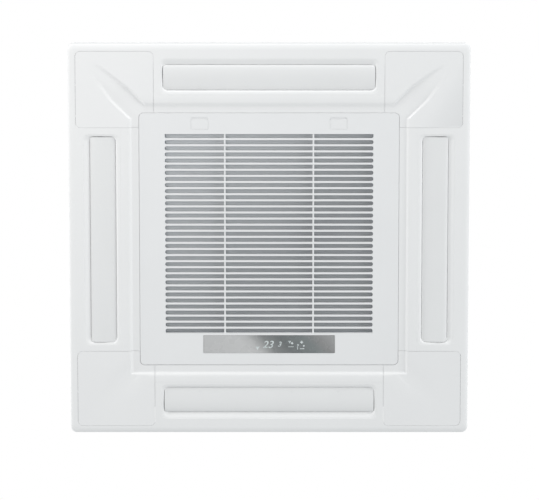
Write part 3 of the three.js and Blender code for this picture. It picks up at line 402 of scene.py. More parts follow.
def makeRuleGroup():
    # fine rules that stand side by side round the unit: upright fins, or a net where Cross is 1; the gaps between
    # the rules are painted shade
    group, given, out = newGroup("fineRules", {
        "Line": (0.7, 0.7, 0.7, 1), "Shaded Gap": (0.2, 0.2, 0.2, 1), "Pitch Scale": 500.0, "Share": 0.5, "Cross": 0.0},
                                 ["Color", "Mask", "Height"])
    place = partsOf(group, placeOn(group))
    facing = partsOf(group, group.nodes.new("ShaderNodeNewGeometry").outputs["Normal"])

    def ruled(axis):
        turned = calculate(group, "FRACT", times(group, place[axis],
                                                 given["Pitch Scale"]), 0)
        return calculate(group, "LESS_THAN", calculate(group, "ABSOLUTE", calculate(group, "SUBTRACT", turned,
                                                                                    0.5), 0),
                         times(group, given["Share"], 0.5))
    besideX = calculate(group, "GREATER_THAN", calculate(group, "ABSOLUTE", facing["X"], 0), 0.7)
    alongY = times(group, ruled("Y"), calculate(group, "MAXIMUM", besideX, given["Cross"]))
    alongX = times(group, ruled("X"), calculate(group, "SUBTRACT", 1, besideX))
    lines = calculate(group, "MAXIMUM", alongX, alongY)
    link(group, blendColours(group, lines, given["Shaded Gap"], given["Line"]), out["Color"])
    link(group, lines, out["Mask"])
    link(group, lines, out["Height"])
    return group


skinGroup = makeSkinGroup()
dustGroup = makeDustGroup()
spangleGroup = makeSpangleGroup()
ruleGroup = makeRuleGroup()


def useGroup(tree, group, values):
    node = tree.nodes.new("ShaderNodeGroup")
    node.node_tree = group
    for label, value in values.items():
        node.inputs[label].default_value = value
    return node


def addBump(tree, shader, height, strength, distance):
    bump = tree.nodes.new("ShaderNodeBump")
    bump.inputs["Strength"].default_value = strength
    bump.inputs["Distance"].default_value = distance
    link(tree, height, bump.inputs["Height"])
    link(tree, bump.outputs["Normal"], shader.inputs["Normal"])


def newMaterial(name, settings):
    material = bpy.data.materials.new(name)
    material.use_nodes = True
    shader = material.node_tree.nodes["Principled BSDF"]
    for label, value in settings.items():
        shader.inputs[label].default_value = value
    return material, material.node_tree, shader


def skinMaterial(name, light, shade, smooth, rough, patch=6.0, grain=1500.0, bump=0.05, dust=0.0, metallic=0.0):
    material, tree, shader = newMaterial(name, {"Metallic": metallic})
    skin = useGroup(tree, skinGroup, {"Light": (*light, 1), "Shade": (*shade, 1), "Patch Scale": patch,
                                      "Grain Scale": grain, "Smooth": smooth, "Rough": rough})
    colour = skin.outputs["Color"]
    if dust:
        veil = useGroup(tree, dustGroup, {"Amount": dust})
        link(tree, colour, veil.inputs["Color"])
        colour = veil.outputs["Color"]
    link(tree, colour, shader.inputs["Base Color"])
    link(tree, skin.outputs["Roughness"], shader.inputs["Roughness"])
    addBump(tree, shader, skin.outputs["Height"], bump, 0.0004)
    return material


def zincMaterial(name, bright, dull, grain, dust):
    material, tree, shader = newMaterial(name, {"Metallic": 0.8})
    zinc = useGroup(tree, spangleGroup, {"Bright": (*bright, 1), "Dull": (*dull, 1), "Grain Scale": grain})
    veil = useGroup(tree, dustGroup, {"Amount": dust})
    link(tree, zinc.outputs["Color"], veil.inputs["Color"])
    link(tree, veil.outputs["Color"], shader.inputs["Base Color"])
    link(tree, zinc.outputs["Roughness"], shader.inputs["Roughness"])
    addBump(tree, shader, zinc.outputs["Height"], 0.06, 0.0006)
    return material


def ruledMaterial(name, line, gap, pitch, share, cross, height, metallic, rough, paintedLightTone=None):
    material, tree, shader = newMaterial(name, {"Metallic": metallic, "Roughness": rough})
    # gap is the painted shade between the rules
    rules = useGroup(tree, ruleGroup, {"Line": (*line, 1), "Shaded Gap": (*gap, 1), "Pitch Scale": 1000 / pitch,
                                       "Share": share, "Cross": cross})
    colour = rules.outputs["Color"]
    if paintedLightTone:
        # painted light: lighter towards one corner, where the light falls more strongly on the net
        place = partsOf(tree, placeOn(tree))
        across = calculate(tree, "ADD", place["X"], times(tree, place["Y"], 0.85))
        colour = blendColours(tree, spread(tree, across, 0.8, 0, -0.42, 0.1), colour, (*paintedLightTone, 1))
    link(tree, colour, shader.inputs["Base Color"])
    addBump(tree, shader, rules.outputs["Height"], height, 0.0008)
    return material


def sheenWindowMaterial():
    # the smoked window of the display: dark smoke, with a painted sheen that turns it silver at one end, parted on a
    # slant
    material, tree, shader = newMaterial("smokedWindowPaintedSheen", {"Coat Weight": 1.0, "Coat Roughness": 0.05, "IOR": 1.5})
    place = partsOf(tree, placeOn(tree))
    slant = calculate(tree, "SUBTRACT", place["X"], times(tree, place["Y"], 0.9))
    ramp = tree.nodes.new("ShaderNodeValToRGB")
    link(tree, spread(tree, slant, 0, 1, -0.39, -0.07), ramp.inputs["Fac"])
    # grey levels along the slant: the silver end is painted sheen, the dark end is the smoke
    sheenStops = [(0.0, 0.52), (0.30, 0.56), (0.38, 0.50), (0.50, 0.22), (0.62, 0.155), (0.80, 0.2), (0.90, 0.25),
             (1.0, 0.33)]
    tints = {0.50: (0.98, 1.02, 1.02), 0.62: (0.94, 1.02, 1.03), 0.80: (0.92, 1.03, 1.03)}
    while len(ramp.color_ramp.elements) < len(sheenStops):
        ramp.color_ramp.elements.new(0.5)
    for element, (at, grey) in zip(ramp.color_ramp.elements, sheenStops):
        tint = tints.get(at, (1, 1, 1))
        element.position = at
        element.color = (grey * tint[0], grey * tint[1], grey * tint[2], 1)
    link(tree, ramp.outputs["Color"], shader.inputs["Base Color"])
    haze = noiseOn(tree, placeOn(tree), 40.0)
    link(tree, spread(tree, haze, 0.22, 0.34), shader.inputs["Roughness"])
    return material


def glowMaterial():
    # the lit figures behind the window
    material, tree, shader = newMaterial("litFigures", {"Roughness": 0.4, "Emission Strength": 0.16})
    haze = noiseOn(tree, placeOn(tree), 260.0)
    colour = blendColours(tree, spread(tree, haze, 0, 1, 0.42, 0.6), (0.42, 0.46, 0.46, 1), (0.6, 0.64, 0.64, 1))
    link(tree, colour, shader.inputs["Base Color"])
    link(tree, colour, shader.inputs["Emission Color"])
    return material


def boardMaterial():
    # circuit board: solder mask with lighter tracks
    material, tree, shader = newMaterial("circuitBoard", {"Coat Weight": 0.5, "Coat Roughness": 0.2})
    place = placeOn(tree)
    tracks = tree.nodes.new("ShaderNodeTexBrick")
    link(tree, place, tracks.inputs["Vector"])
    for label, value in (("Scale", 120.0), ("Color1", (0.015, 0.11, 0.05, 1)), ("Color2", (0.02, 0.15, 0.07, 1)),
                         ("Mortar", (0.09, 0.26, 0.12, 1))):
        tracks.inputs[label].default_value = value
    link(tree, tracks.outputs["Color"], shader.inputs["Base Color"])
    link(tree, spread(tree, noiseOn(tree, place, 300.0), 0.3, 0.5), shader.inputs["Roughness"])
    return material


white = (0.86, 0.86, 0.86)
looks = {
    "panel": skinMaterial("panelPlastic", white, (0.845, 0.846, 0.846), 0.42, 0.5, grain=2600, bump=0.03),
    "cover": skinMaterial("coverPlastic", white, (0.845, 0.845, 0.847), 0.42, 0.5, 5, 2600, 0.03),
    "vane": skinMaterial("vanePlastic", (0.815, 0.817, 0.817), (0.8, 0.802, 0.802), 0.38, 0.46, 7, 2600, 0.03),
    "grille": skinMaterial("grillePlastic", (0.84, 0.843, 0.846), (0.825, 0.828, 0.832), 0.42, 0.5, 6, 2600, 0.03),
    "latch": skinMaterial("latchPlastic", (0.84, 0.843, 0.846), (0.83, 0.833, 0.836), 0.4, 0.48, 30, 2600, 0.03),
    "innerPlastic": skinMaterial("innerPlastic", (0.055, 0.057, 0.06), (0.04, 0.042, 0.045), 0.45, 0.6, dust=0.12),
    "greyPlastic": skinMaterial("greyPlastic", (0.42, 0.43, 0.44), (0.36, 0.37, 0.38), 0.45, 0.58, dust=0.1),
    "stepperPlastic": skinMaterial("stepperPlastic", (0.62, 0.63, 0.64), (0.55, 0.56, 0.57), 0.4, 0.55, 40),
    "filterPlastic": skinMaterial("filterPlastic", (0.3, 0.32, 0.34), (0.25, 0.27, 0.29), 0.5, 0.62, 20),
    "sealFoam": skinMaterial("sealFoam", (0.075, 0.075, 0.078), (0.05, 0.05, 0.052), 0.85, 0.95, 60, 700, 0.8),
    "innerFoam": skinMaterial("innerFoam", (0.78, 0.785, 0.79), (0.66, 0.67, 0.68), 0.75, 0.9, 80, 420, 0.6),
    "rubber": skinMaterial("isolatorRubber", (0.035, 0.034, 0.033), (0.022, 0.022, 0.022), 0.6, 0.8, 40, 900, 0.2),
    "steel": skinMaterial("turnedSteel", (0.5, 0.51, 0.52), (0.38, 0.385, 0.39), 0.25, 0.42, 30, 900, 0.1,
                          metallic=0.9),
    "screw": skinMaterial("screwZinc", (0.62, 0.6, 0.54), (0.5, 0.5, 0.47), 0.25, 0.4, 200, 1500, 0.1,
                          metallic=0.9),
    "copper": skinMaterial("copperPipe", (0.72, 0.36, 0.22), (0.5, 0.24, 0.14), 0.25, 0.45, 18, 300, 0.05,
                           metallic=1.0),
    "brass": skinMaterial("brassNut", (0.74, 0.56, 0.26), (0.58, 0.42, 0.18), 0.25, 0.4, 60, 700, 0.06,
                          metallic=1.0),
    "zinc": zincMaterial("zincSheet", (0.5, 0.51, 0.52), (0.35, 0.36, 0.37), 75.0, 0.16),
    "zincThick": zincMaterial("zincBracket", (0.47, 0.48, 0.49), (0.33, 0.34, 0.35), 120.0, 0.1),
    # the fins' near-black gap colour is painted shade between the fins
    "fins": ruledMaterial("coilFins", (0.5, 0.55, 0.6), (0.06, 0.07, 0.08), 2.4, 0.5, 0.0, 0.7, 0.7, 0.4),
    # the net's last colour is painted light, lighter towards one corner
    "net": ruledMaterial("filterNet", (0.42, 0.435, 0.45), (0.3, 0.31, 0.325), 2.6, 0.42, 1.0, 0.4, 0.0, 0.75,
                         (0.68, 0.7, 0.72)),
    "window": sheenWindowMaterial(),
    "figures": glowMaterial(),
    "board": boardMaterial(),
}


def numbered(name, count=4):
    return [f"{name}_{k}" for k in range(1, count + 1)]


# each look's slot, and the CAD nodes that wear it
wearers = {
    "panel": ("panel_plastic", ["panel_frame"]),
    "cover": ("panel_plastic", numbered("corner_cover")),
    "vane": ("vane_plastic", numbered("vane")),
    "grille": ("panel_plastic", ["intake_grille"]),
    "latch": ("panel_plastic", ["latch_left", "latch_right"]),
    "innerPlastic": ("inner_plastic", ["turbo_fan", "bell_mouth", "drain_float"]),
    "greyPlastic": ("grey_plastic", ["drain_pump", "drain_spigot", "terminal_block"]),
    "stepperPlastic": ("stepper_plastic", numbered("vane_stepper") + numbered("vane_bush")),
    "filterPlastic": ("filter_plastic", ["filter_frame"]),
    "sealFoam": ("seal_foam", ["panel_seal"]),
    "innerFoam": ("inner_foam", ["foam_liner", "drain_pan"]),
    "rubber": ("isolator_rubber", numbered("motor_isolator", 3)),
    "steel": ("steel", ["fan_motor", "fan_shaft"]),
    "screw": ("steel", ["fan_nut"]),
    "copper": ("copper_pipe", ["gas_pipe", "liquid_pipe", "coil_return_end", "coil_header_end"]),
    "brass": ("brass_nut", ["gas_flare_nut", "liquid_flare_nut"]),
    "zinc": ("zinc_sheet", ["cabinet_casing", "control_box", "control_cover", "pipe_plate"]),
    "zincThick": ("zinc_sheet", numbered("hanger")),
    "fins": ("fins", ["coil_fins"]),
    "net": ("filter_mesh", ["filter_net"]),
    "window": ("smoked_window", ["display_window"]),
    "board": ("board", ["display_board", "circuit_board"]),
    "figures": ("board", []),
}
lookOf = {node: look for look, (_, group) in wearers.items() for node in group}
for node, look in lookOf.items():
    nodes[node].data.materials.clear()
    nodes[node].data.materials.append(looks[look])
unpainted = sorted(set(nodes) - set(lookOf))
print("stage: materials made; nodes left without one:", unpainted)


faceZ = -22
panel = {"half": 475, "corner": 14, "rim": 6, "edgeWide": 14, "edgeTurns": (3, 7, 12, 18, 26, 36, 50, 70, 90),
         "wall": 2.5}
backRib = {"at": (-375, -300, -225, -150, -75, 0, 75, 150, 225, 300, 375), "half": 0.8, "high": 15, "lift": 2.3,
           "fromDuct": 443, "fromCorner": 400, "ductEnd": 290, "slope": 8, "taper": 0.7}
recess = {"floor": -17, "wallLift": 2.5,
          "rise": [(-22, 352), (-21.94, 346), (-21.76, 340), (-21.45, 335), (-20.9, 331.6), (-19.3, 328.8),
                   (-17.55, 326.2), (-17.12, 324.8), (-17, 322.8)]}
channel = {"start": 432, "bend": 503, "end": 598, "half": 29, "tailHalf": 20,
           "rise": [(-22, 1, 1), (-21.8, 0.955, 0.85), (-21.3, 0.91, 0.7), (-19.5, 0.85, 0.5), (-17.7, 0.79, 0.32),
                    (-17.2, 0.745, 0.2), (-17, 0.7, 0.1)]}
# on the display side the channels are shallow and soft
softChannel = {"start": 400, "bend": 500, "end": 585, "half": 44, "tailHalf": 30,
               "rise": [(-22, 1, 1), (-21.93, 0.86, 0.8), (-21.7, 0.7, 0.6), (-21.2, 0.5, 0.4), (-20.7, 0.32, 0.22),
                        (-20.4, 0.15, 0.08)]}
# the seam's floor closes the gap round the grille, from inside the opening to outside it
opening = {"half": 308.7, "corner": 11.7, "collarWall": 2.5, "collarTop": -4,
           "floorInner": -1.4, "floorOuter": 2.4, "floorLow": 2.7, "floorHigh": 3.7, "swingFrom": 285}
hinge = {"at": (292, -11.5), "hole": 2.3, "pin": 1.8, "pinEnds": (300, 310.6), "reach": 330}
# where the latch tongues pass: half width, y range and z range of the collar's windows and of the grille's notches
tongueWay = {"at": 164.5, "window": (8.2, (-320, -300), (-14.8, -11.4)), "notch": (7.6, (-310, -303), (-14.7, -12))}
shaftHole = {"at": (384.5, -8), "radius": 3.2, "reach": 262}
cover = {"inner": 273.5, "outer": 457.5, "corner": 12, "seam": 1}
outlet = {"inner": 355.3, "outer": 440, "half": 257.5, "corner": 13, "ductWall": 2, "ductLow": -20.6,
          "rise": [(-21.9, 356.3, 439.1, 256.5), (-21.4, 358.2, 437.6, 254.8), (-20.5, 360.4, 435.4, 252.9),
                   (-19.4, 361.8, 432.7, 251.8), (-18.3, 362.5, 430, 251.2), (-17.4, 362.9, 427.6, 250.9),
                   (-16.8, 362.9, 425.8, 250.8), (-16.5, 362.8, 425.1, 250.7), (-15.8, 362.2, 424.8, 250.7),
                   (-14.3, 361.4, 424.8, 250.7), (-14, 361.2, 421.5, 250.7), (-13, 361, 421, 250.7),
                   (-11, 360.4, 420.5, 250.7), (-5, 358, 419, 250.7), (3, 354.6, 413.5, 250.7), (13.9, 353, 408, 250.7)]}


def channelTool(quarter):
    # runs out from the corner of the recess; its floor climbs to the face at the tail
    c = softChannel if quarter < 2 else channel
    tool = box("channelTool", (c["start"], c["bend"]), (-c["half"], c["half"]), (faceZ - 4, faceZ))
    taper = c["tailHalf"] / c["half"]
    liftFaces(tool, lambda f: f.normal.x > 0.9, [((c["end"] - c["bend"], 0, 0), (1, taper, 1), (c["end"], 0, 0))])
    liftFaces(tool, facesUp, [((0, 0, nextZ - z), (1, nextShare / share, 1), (0, 0, nextZ))
                              for (z, share, _), (nextZ, nextShare, _) in zip(c["rise"], c["rise"][1:])])
    for z, share, tailShare in c["rise"][1:]:
        stretch(tool, "verts", lambda v: abs(middle(v).z - z) < 0.02 and middle(v).x > c["bend"] + 1,
                (1, tailShare / share, 1), (0, 0, z))
    stretch(tool, "verts", lambda v: middle(v).z > faceZ - 0.01 and middle(v).x > c["bend"] + 1,
            (1, 1, 0.01), (0, 0, faceZ - 0.12))
    return turned(tool, 45 + 90 * quarter)


def recessTool():
    r = recess["rise"]
    tool = square("recessTool", r[0][1], faceZ - 4, faceZ)
    liftFaces(tool, facesUp, squareSteps(r))
    return tool


def cavityTool():
    # the hollow behind the face, clear of the recess and the channels
    inside = panel["half"] - panel["wall"]
    cavity = square("cavityTool", inside, faceZ + panel["wall"], 2, panel["corner"] - panel["wall"], 8)
    roundEdges(cavity, lambda e: middle(e).z < faceZ + panel["wall"] + 0.1, panel["rim"] - panel["wall"], 3)
    top = recess["floor"] + recess["wallLift"]
    cut(cavity, square("spareTool", recess["rise"][0][1] + panel["wall"], faceZ - 5, top))
    for k in range(4):
        arm = box("spareArm", (channel["start"] - 40, channel["end"] - 10), around(0, channel["half"] + 2),
                  (faceZ - 5, top))
        cut(cavity, turned(arm, 45 + 90 * k))
    return cavity


def slotTool(extra, low):
    # the air slot of the +X side as a solid; the outer wall leans in as it rises
    o = outlet
    inner, outer, half = o["inner"] - extra, o["outer"] + extra, o["half"] + extra
    z = max(low + 0.3, faceZ + 0.4)
    tool = box("slotTool", (inner, outer), (-half, half), (low, z), o["corner"] + extra)
    steps = []
    for nextZ, nextInner, nextOuter, nextHalf in [step for step in o["rise"] if step[0] > z]:
        nextInner, nextOuter, nextHalf = nextInner - extra, nextOuter + extra, nextHalf + extra
        centre = (nextInner + nextOuter) / 2
        steps.append(((centre - (inner + outer) / 2, 0, nextZ - z),
                      ((nextOuter - nextInner) / (outer - inner), nextHalf / half, 1), (centre, 0, nextZ)))
        z, inner, outer, half = nextZ, nextInner, nextOuter, nextHalf
    liftFaces(tool, facesUp, steps)
    return tool


def holeTool(extra, low, high):
    return square("holeTool", opening["half"] + extra, low, high, opening["corner"] + extra)


def coverTool(extra, low, high):
    c = cover
    sides = (c["inner"] - extra, c["outer"] + extra)
    return box("coverTool", sides, sides, (low, high), c["corner"] + extra)


def tongueBoxes(name):
    half, ys, zs = tongueWay[name]
    return [box(name, around(side * tongueWay["at"], half), ys, zs) for side in (-1, 1)]


def makePanel():
    p = panel
    block = square("panelShell", p["half"], faceZ, 0, p["corner"], 12)
    edge = [(faceZ + p["rim"], p["half"])]
    for turn in p["edgeTurns"]:
        t = math.radians(turn)
        edge.append((faceZ + p["rim"] * (1 - math.sin(t)), p["half"] - p["edgeWide"] * (1 - math.cos(t))))
    moveChosen(block, "faces", lambda f: f.normal.z < -0.9, (0, 0, p["rim"]))
    liftFaces(block, lambda f: f.normal.z < -0.9, squareSteps(edge))
    cut(block, recessTool(), *[channelTool(k) for k in range(4)])
    return cut(block, cavityTool())


def makeCover(shell, quarter):
    piece = copyOf(shell, "cornerCover")
    combine(piece, turned(coverTool(0, faceZ - 3, faceZ + 8), 90 * quarter), "INTERSECT")
    cut(piece, holeTool(0, faceZ - 5, 0))
    return finishEdges(piece, 0.7, 3)


shell = makePanel()
print("stage: panel shell", len(shell.data.polygons))
for first in (0, 2):
    coverPiece = makeCover(shell, first)
    for k in (0, 1):
        settle(copyOf(coverPiece, f"cover{first + k + 1}", k), "unit", "cover", f"corner_cover_{first + k + 1}")
    discard(coverPiece)
print("stage: corner covers")

slot = slotTool(0, faceZ - 5)
duct = slotTool(outlet["ductWall"], outlet["ductLow"])
shaftTool = rod("shaftTool", shaftHole["radius"], around(0, shaftHole["reach"]), shaftHole["at"], "Y", 24)
for k in range(4):
    combine(shell, copyOf(duct, "duct", k), "UNION")
for k in range(4):
    cut(shell, copyOf(slot, "slotCut", k), copyOf(shaftTool, "shaftCut", k))
discard(slot, duct, shaftTool)
collar = holeTool(opening["collarWall"], recess["floor"] + recess["wallLift"], opening["collarTop"])
pinTool = rod("pinTool", hinge["hole"], around(0, hinge["reach"]), hinge["at"], "X", 24)
cut(collar, holeTool(0, faceZ - 5, 10), pinTool)
tongueTools = tongueBoxes("window")
cut(collar, *[copyOf(tool, "collarWindow") for tool in tongueTools])
cut(shell, holeTool(0, faceZ - 5, 10))
pocket = coverTool(cover["seam"] / 2, faceZ - 5, faceZ + 8.5)
cut(shell, *[copyOf(pocket, "pocketCut", k) for k in range(4)])
discard(pocket)
seamFloor = holeTool(opening["floorOuter"], recess["floor"] + opening["floorLow"],
                     recess["floor"] + opening["floorHigh"])
swingTool = box("swingTool", around(0, hinge["reach"]), (opening["swingFrom"], hinge["reach"]), (-20, 0))
cut(seamFloor, holeTool(opening["floorInner"], faceZ - 5, 10), swingTool, *tongueTools)


def makeRibs():
    # stiffening ribs in the hollow of the back, between the ducts and the rim
    b = backRib
    low = faceZ + b["lift"]
    ribs = []
    for k in range(4):
        for at in b["at"]:
            inner = b["fromDuct"] if abs(at) < b["ductEnd"] else b["fromCorner"]
            rib = box("rib", (inner, panel["half"] - 2), around(at, b["half"]), (low, low + b["high"]))
            stretch(rib, "faces", facesUp, (1, b["taper"], 1), (0, at, 0))
            moveChosen(rib, "verts", lambda v: middle(v).z > low + 1 and middle(v).x < inner + 1,
                       (b["slope"], 0, 0))
            ribs.append(turned(rib, 90 * k))
    return joined("backRibs", ribs)


shell = joined("panelFrame", [shell, collar, seamFloor, makeRibs()])
finishEdges(shell, 0.6, 3)
# the bevel swells past the face where the recess meets an outlet
stretch(shell, "verts", lambda v: middle(v).z < faceZ - 0.001, (1, 1, 0), (0, 0, faceZ))
settle(shell, "unit", "panel", "panel_frame")
print("stage: panel frame", len(shell.data.polygons))


vane = {"inner": 362.2, "width": 62.3, "half": 250.4, "thick": 2.2, "outerCorner": 8, "innerCorner": 5,
        "boss": 5.5, "ribs": (-165, -55, 55, 165),
        "section": [(0, 7.4), (0.03, 5.2), (0.065, 4), (0.11, 3.3), (0.18, 2.7), (0.28, 2), (0.4, 1.2), (0.52, 0.6),
                    (0.62, 0.35), (0.74, 0.4), (0.85, 0.9), (0.93, 2), (0.975, 3.5), (1, 5.1)]}


def stripPiece(name, points, half):
    # a strip along Y whose section follows points of x and z in mm, facing down
    (x0, z0), (x1, z1) = points[:2]
    deselectAll()
    bpy.ops.mesh.primitive_plane_add(size=1, location=((x0 + x1) / 2000, 0, z0 / 1000))
    bpy.context.active_object.scale = ((x1 - x0) / 1000, half / 500, 1)
    strip = named(name)
    moveChosen(strip, "verts", lambda v: middle(v).x > x1 - 0.01, (0, 0, z1 - z0))
    choose(strip, "edges", lambda e: middle(e).x > x1 - 0.01)
    for (fromX, fromZ), (toX, toZ) in zip(points[1:], points[2:]):
        bpy.ops.mesh.extrude_region_move(TRANSFORM_OT_translate={"value": ((toX - fromX) / 1000, 0,
                                                                           (toZ - fromZ) / 1000)})
    bpy.ops.mesh.select_all(action="SELECT")
    bpy.ops.mesh.remove_doubles(threshold=0.00001)
    bpy.ops.mesh.normals_make_consistent(inside=False)
    deselectAll()
    if strip.data.polygons[len(strip.data.polygons) // 2].normal.z > 0:
        choose(strip, "faces", lambda f: True)
        bpy.ops.mesh.flip_normals()
        deselectAll()
    return strip


def makeVane():
    v = vane
    inner, half = v["inner"], v["half"]
    pivotX, pivotZ = shaftHole["at"]
    blade = stripPiece("vaneBlade", [(inner + v["width"] * t, faceZ + rise) for t, rise in v["section"]], half + 6)
    modify(blade, "SOLIDIFY", thickness=v["thick"] / 1000, offset=-1)
    outline = box("vaneOutline", (inner - 1, inner + v["width"] + 0.4), around(0, half), (faceZ - 3, 0))
    roundEdges(outline, lambda e: isUpright(e) and middle(e).x > 400, v["outerCorner"], 6)
    roundEdges(outline, lambda e: isUpright(e) and middle(e).x < 370, v["innerCorner"], 5)
    combine(blade, outline, "INTERSECT")
    parts = [blade]
    for side in (-1, 1):
        ends = sorted((side * (half - 0.5), side * (half - 8)))
        parts.append(rod("vaneBoss", v["boss"], ends, shaftHole["at"], "Y", 24))
        arm = box("vaneArm", (pivotX - 9, pivotX + 12), sorted((side * (half - 1), side * (half - 4))),
                  (faceZ + 2.6, pivotZ))
        stretch(arm, "faces", facesUp, (0.5, 1, 1), (pivotX, 0, 0))
        roundEdges(arm, lambda e: along(e, 1), 1.2, 2)
        parts.append(arm)
    for at in v["ribs"]:
        rib = box("vaneRib", (inner + 9, inner + 52), around(at, 0.8), (faceZ + 2.2, faceZ + 6.5))
        stretch(rib, "faces", facesUp, (0.75, 1, 1), (inner + 28, 0, 0))
        parts.append(rib)
    return finishEdges(joined("vane", parts), 0.35, 2, 40, 40)


vanePiece = makeVane()
for k, body in enumerate(("vane_right", "vane_near", "vane_left", "vane_far")):
    settle(copyOf(vanePiece, f"louvre{k + 1}", k), body, "vane", f"vane_{k + 1}")
discard(vanePiece)
print("stage: louvres")


grille = {"half": 308, "corner": 11, "low": -17, "plate": 2.5, "round": 1.1, "rimTop": -8.5, "rimWall": 2.5,
          "rimInset": 1,
          "fieldHalf": 247, "fieldFar": -257, "fieldNear": 229, "slots": 33, "slat": 4.8, "slatBack": 3.4,
          "slatTop": -9,
          "pocket": 1.7, "barAt": 105, "bar": 4, "barSet": 0.5, "flare": [(1.75, 0.47), (0.95, 0.95), (1.3, 2.1)]}
latch = {"half": 20, "far": -293, "near": -269, "travel": 4, "gap": 0.3, "corner": 3.5,
         "thick": 1.4, "stem": 14, "tongueHalf": 7, "tip": -307}
display = {"half": 157, "from": 235, "to": 279, "thick": 1.8, "gap": 0.3, "corner": 1.5}


def makeSlat():
    g = grille
    reach = sum(step for step, _ in g["flare"])
    slat = box("slat", (reach - g["fieldHalf"], g["fieldHalf"] - reach), around(0, g["slat"] / 2),
               (g["low"], g["slatTop"]))
    stretch(slat, "faces", facesUp, (1, g["slatBack"] / g["slat"], 1), (0, 0, 0))
    for side in (-1, 1):
        steps = []
        x, half = g["fieldHalf"] - reach, g["slat"] / 2
        for step, grow in g["flare"]:
            x += step
            steps.append(((side * step, 0, 0), (1, (half + grow) / half, 1), (side * x, 0, 0)))
            half += grow
        liftFaces(slat, lambda f: f.normal.x * side > 0.9, steps)
    roundEdges(slat, lambda e: middle(e).z < g["low"] + 0.1 and abs(e.verts[0].co.x - e.verts[1].co.x) > 0.0001,
               0.7, 2)
    return slat


def roundTab(piece, far, near):
    # rounds the upright edges of a latch or of its opening, more on the far side
    roundEdges(piece, lambda e: isUpright(e) and middle(e).y < -280, far, 5)
    roundEdges(piece, lambda e: isUpright(e) and middle(e).y > -280, near, 3)


def makeGrille():
    g, d, c = grille, display, latch
    low, back = g["low"], g["low"] + g["plate"]
    plate = square("grillePlate", g["half"], low, back, g["corner"], 10)
    roundEdges(plate, lambda e: middle(e).z < low + 0.1, g["round"], 4)
    fieldSides = around(0, g["fieldHalf"]), (g["fieldFar"], g["fieldNear"])
    field = box("fieldTool", *fieldSides, (low - 3, 0))
    seat = box("seatTool", around(0, d["half"] + d["gap"]), (d["from"] - d["gap"], d["to"] + d["gap"]),
               (low - 3, 0), d["corner"] + d["gap"], 4)
    cut(plate, field, seat)
    for side in (-1, 1):
        at = side * tongueWay["at"]
        window = box("latchTool", around(at, c["half"] + c["gap"]),
                     (c["far"] - c["travel"] - c["gap"], c["near"] + c["gap"]), (low - 3, low + g["pocket"]))
        roundTab(window, c["corner"] + 0.2, 1)
        stem = box("stemTool", around(at, c["stem"] + 0.5),
                   (c["far"] + 6 - c["travel"] - 0.5, c["near"] - 3.5), (low - 3, 0))
        cut(plate, window, stem)
    finishEdges(plate, 0.4, 3)
    parts = [plate]
    # the wall round the plate and the one round the field
    outerHalf, corner = g["half"] - g["rimInset"], g["corner"] - g["rimInset"]
    rim = square("rim", outerHalf, back - 0.3, g["rimTop"], corner)
    hollow = square("rimTool", outerHalf - g["rimWall"], low, 0, corner - g["rimWall"])
    parts.append(cut(rim, hollow, *tongueBoxes("notch")))
    fieldWall = box("fieldWall", around(0, g["fieldHalf"] + 2), (g["fieldFar"] - 2, g["fieldNear"] + 2),
                    (back - 0.3, g["slatTop"]))
    parts.append(cut(fieldWall, box("fieldTool", *fieldSides, (low, 0))))
    bed = box("displayBed", around(0, d["half"] + 4), (d["from"] - 4, d["to"] + 4),
              (low + d["thick"] + 0.4, back + 1.4))
    parts.append(bed)
    for side in (-1, 1):
        bar = box("bar", around(side * g["barAt"], g["bar"] / 2),
                  (g["fieldFar"] - 0.5, g["fieldNear"] + 0.5), (low + g["barSet"], g["slatTop"] - 0.2))
        roundEdges(bar, lambda e: along(e, 1) and middle(e).z < low + 1, 0.6, 2)
        parts.append(bar)
        ends = sorted(side * end for end in hinge["pinEnds"])
        parts.append(rod("hingePin", hinge["pin"], ends, hinge["at"], "X", 16))
    slat = makeSlat()
    finishEdges(slat, 0)
    pitch = (g["fieldNear"] - g["fieldFar"] + g["slat"]) / g["slots"]
    for k in range(1, g["slots"]):
        parts.append(copyOf(slat, f"slat{k}", 0, (0, g["fieldFar"] - g["slat"] / 2 + pitch * k, 0)))
    discard(slat)
    for piece in parts[1:7]:  # the walls, the bed, the bars and their pin
        activate(piece)
        bpy.ops.object.shade_smooth_by_angle(angle=math.radians(34))
    return joined("intakeGrille", parts)


settle(makeGrille(), "grille", "grille", "intake_grille")
print("stage: intake grille")


def makeLatch(side):
    c, g = latch, grille
    at = side * tongueWay["at"]
    low, back = g["low"], g["low"] + g["plate"]
    backZ = back + 0.3, back + 2
    tab = box("latchTab", around(at, c["half"]), (c["far"], c["near"]),
              (low, low + c["thick"]))
    roundTab(tab, c["corner"], 0.8)
    finishEdges(tab, 0.4, 3)
    flange = box("latchFlange", around(at, c["half"] + 4), (c["far"] + 2, c["near"] + 3), backZ)
    tongue = box("latchTongue", around(at, c["tongueHalf"]), (c["tip"], c["far"] + 4), backZ)
    neck = box("latchNeck", around(at, c["stem"]), (c["far"] + 6, c["near"] - 4),
               (low + c["thick"] - 0.3, back + 0.5))
    for piece in (flange, tongue, neck):
        finishEdges(piece, 0.4, 2)
    return joined("latch", [tab, flange, tongue, neck])


for side, name in ((-1, "latch_left"), (1, "latch_right")):
    piece = makeLatch(side)
    piece.name = piece.data.name = "grilleCatch" + ("Left" if side < 0 else "Right")
    settle(piece, "left_latch" if side < 0 else "right_latch", "latch", name)
print("stage: latches")


# texts are string, x, y, size, lean; marks are sides, size, x, y; strokes are x and y ranges
figures = {"texts": [("23", -3.2, 258.5, 25, 0.30), ("3", 24.5, 257.5, 17, 0.30)], "thick": 0.04,
           "marks": [(3, 5.6, -27.5, 265.5), (3, 4.2, 49, 251), (4, 3.4, 55, 254.5), (4, 4.2, 78, 252),
                     (4, 2.6, 69, 259),
                     (4, 2.6, 83, 261)],
           "strokes": [((46, 59), (262.5, 264)), ((67, 69), (262, 270)), ((74, 84), (267, 269))]}


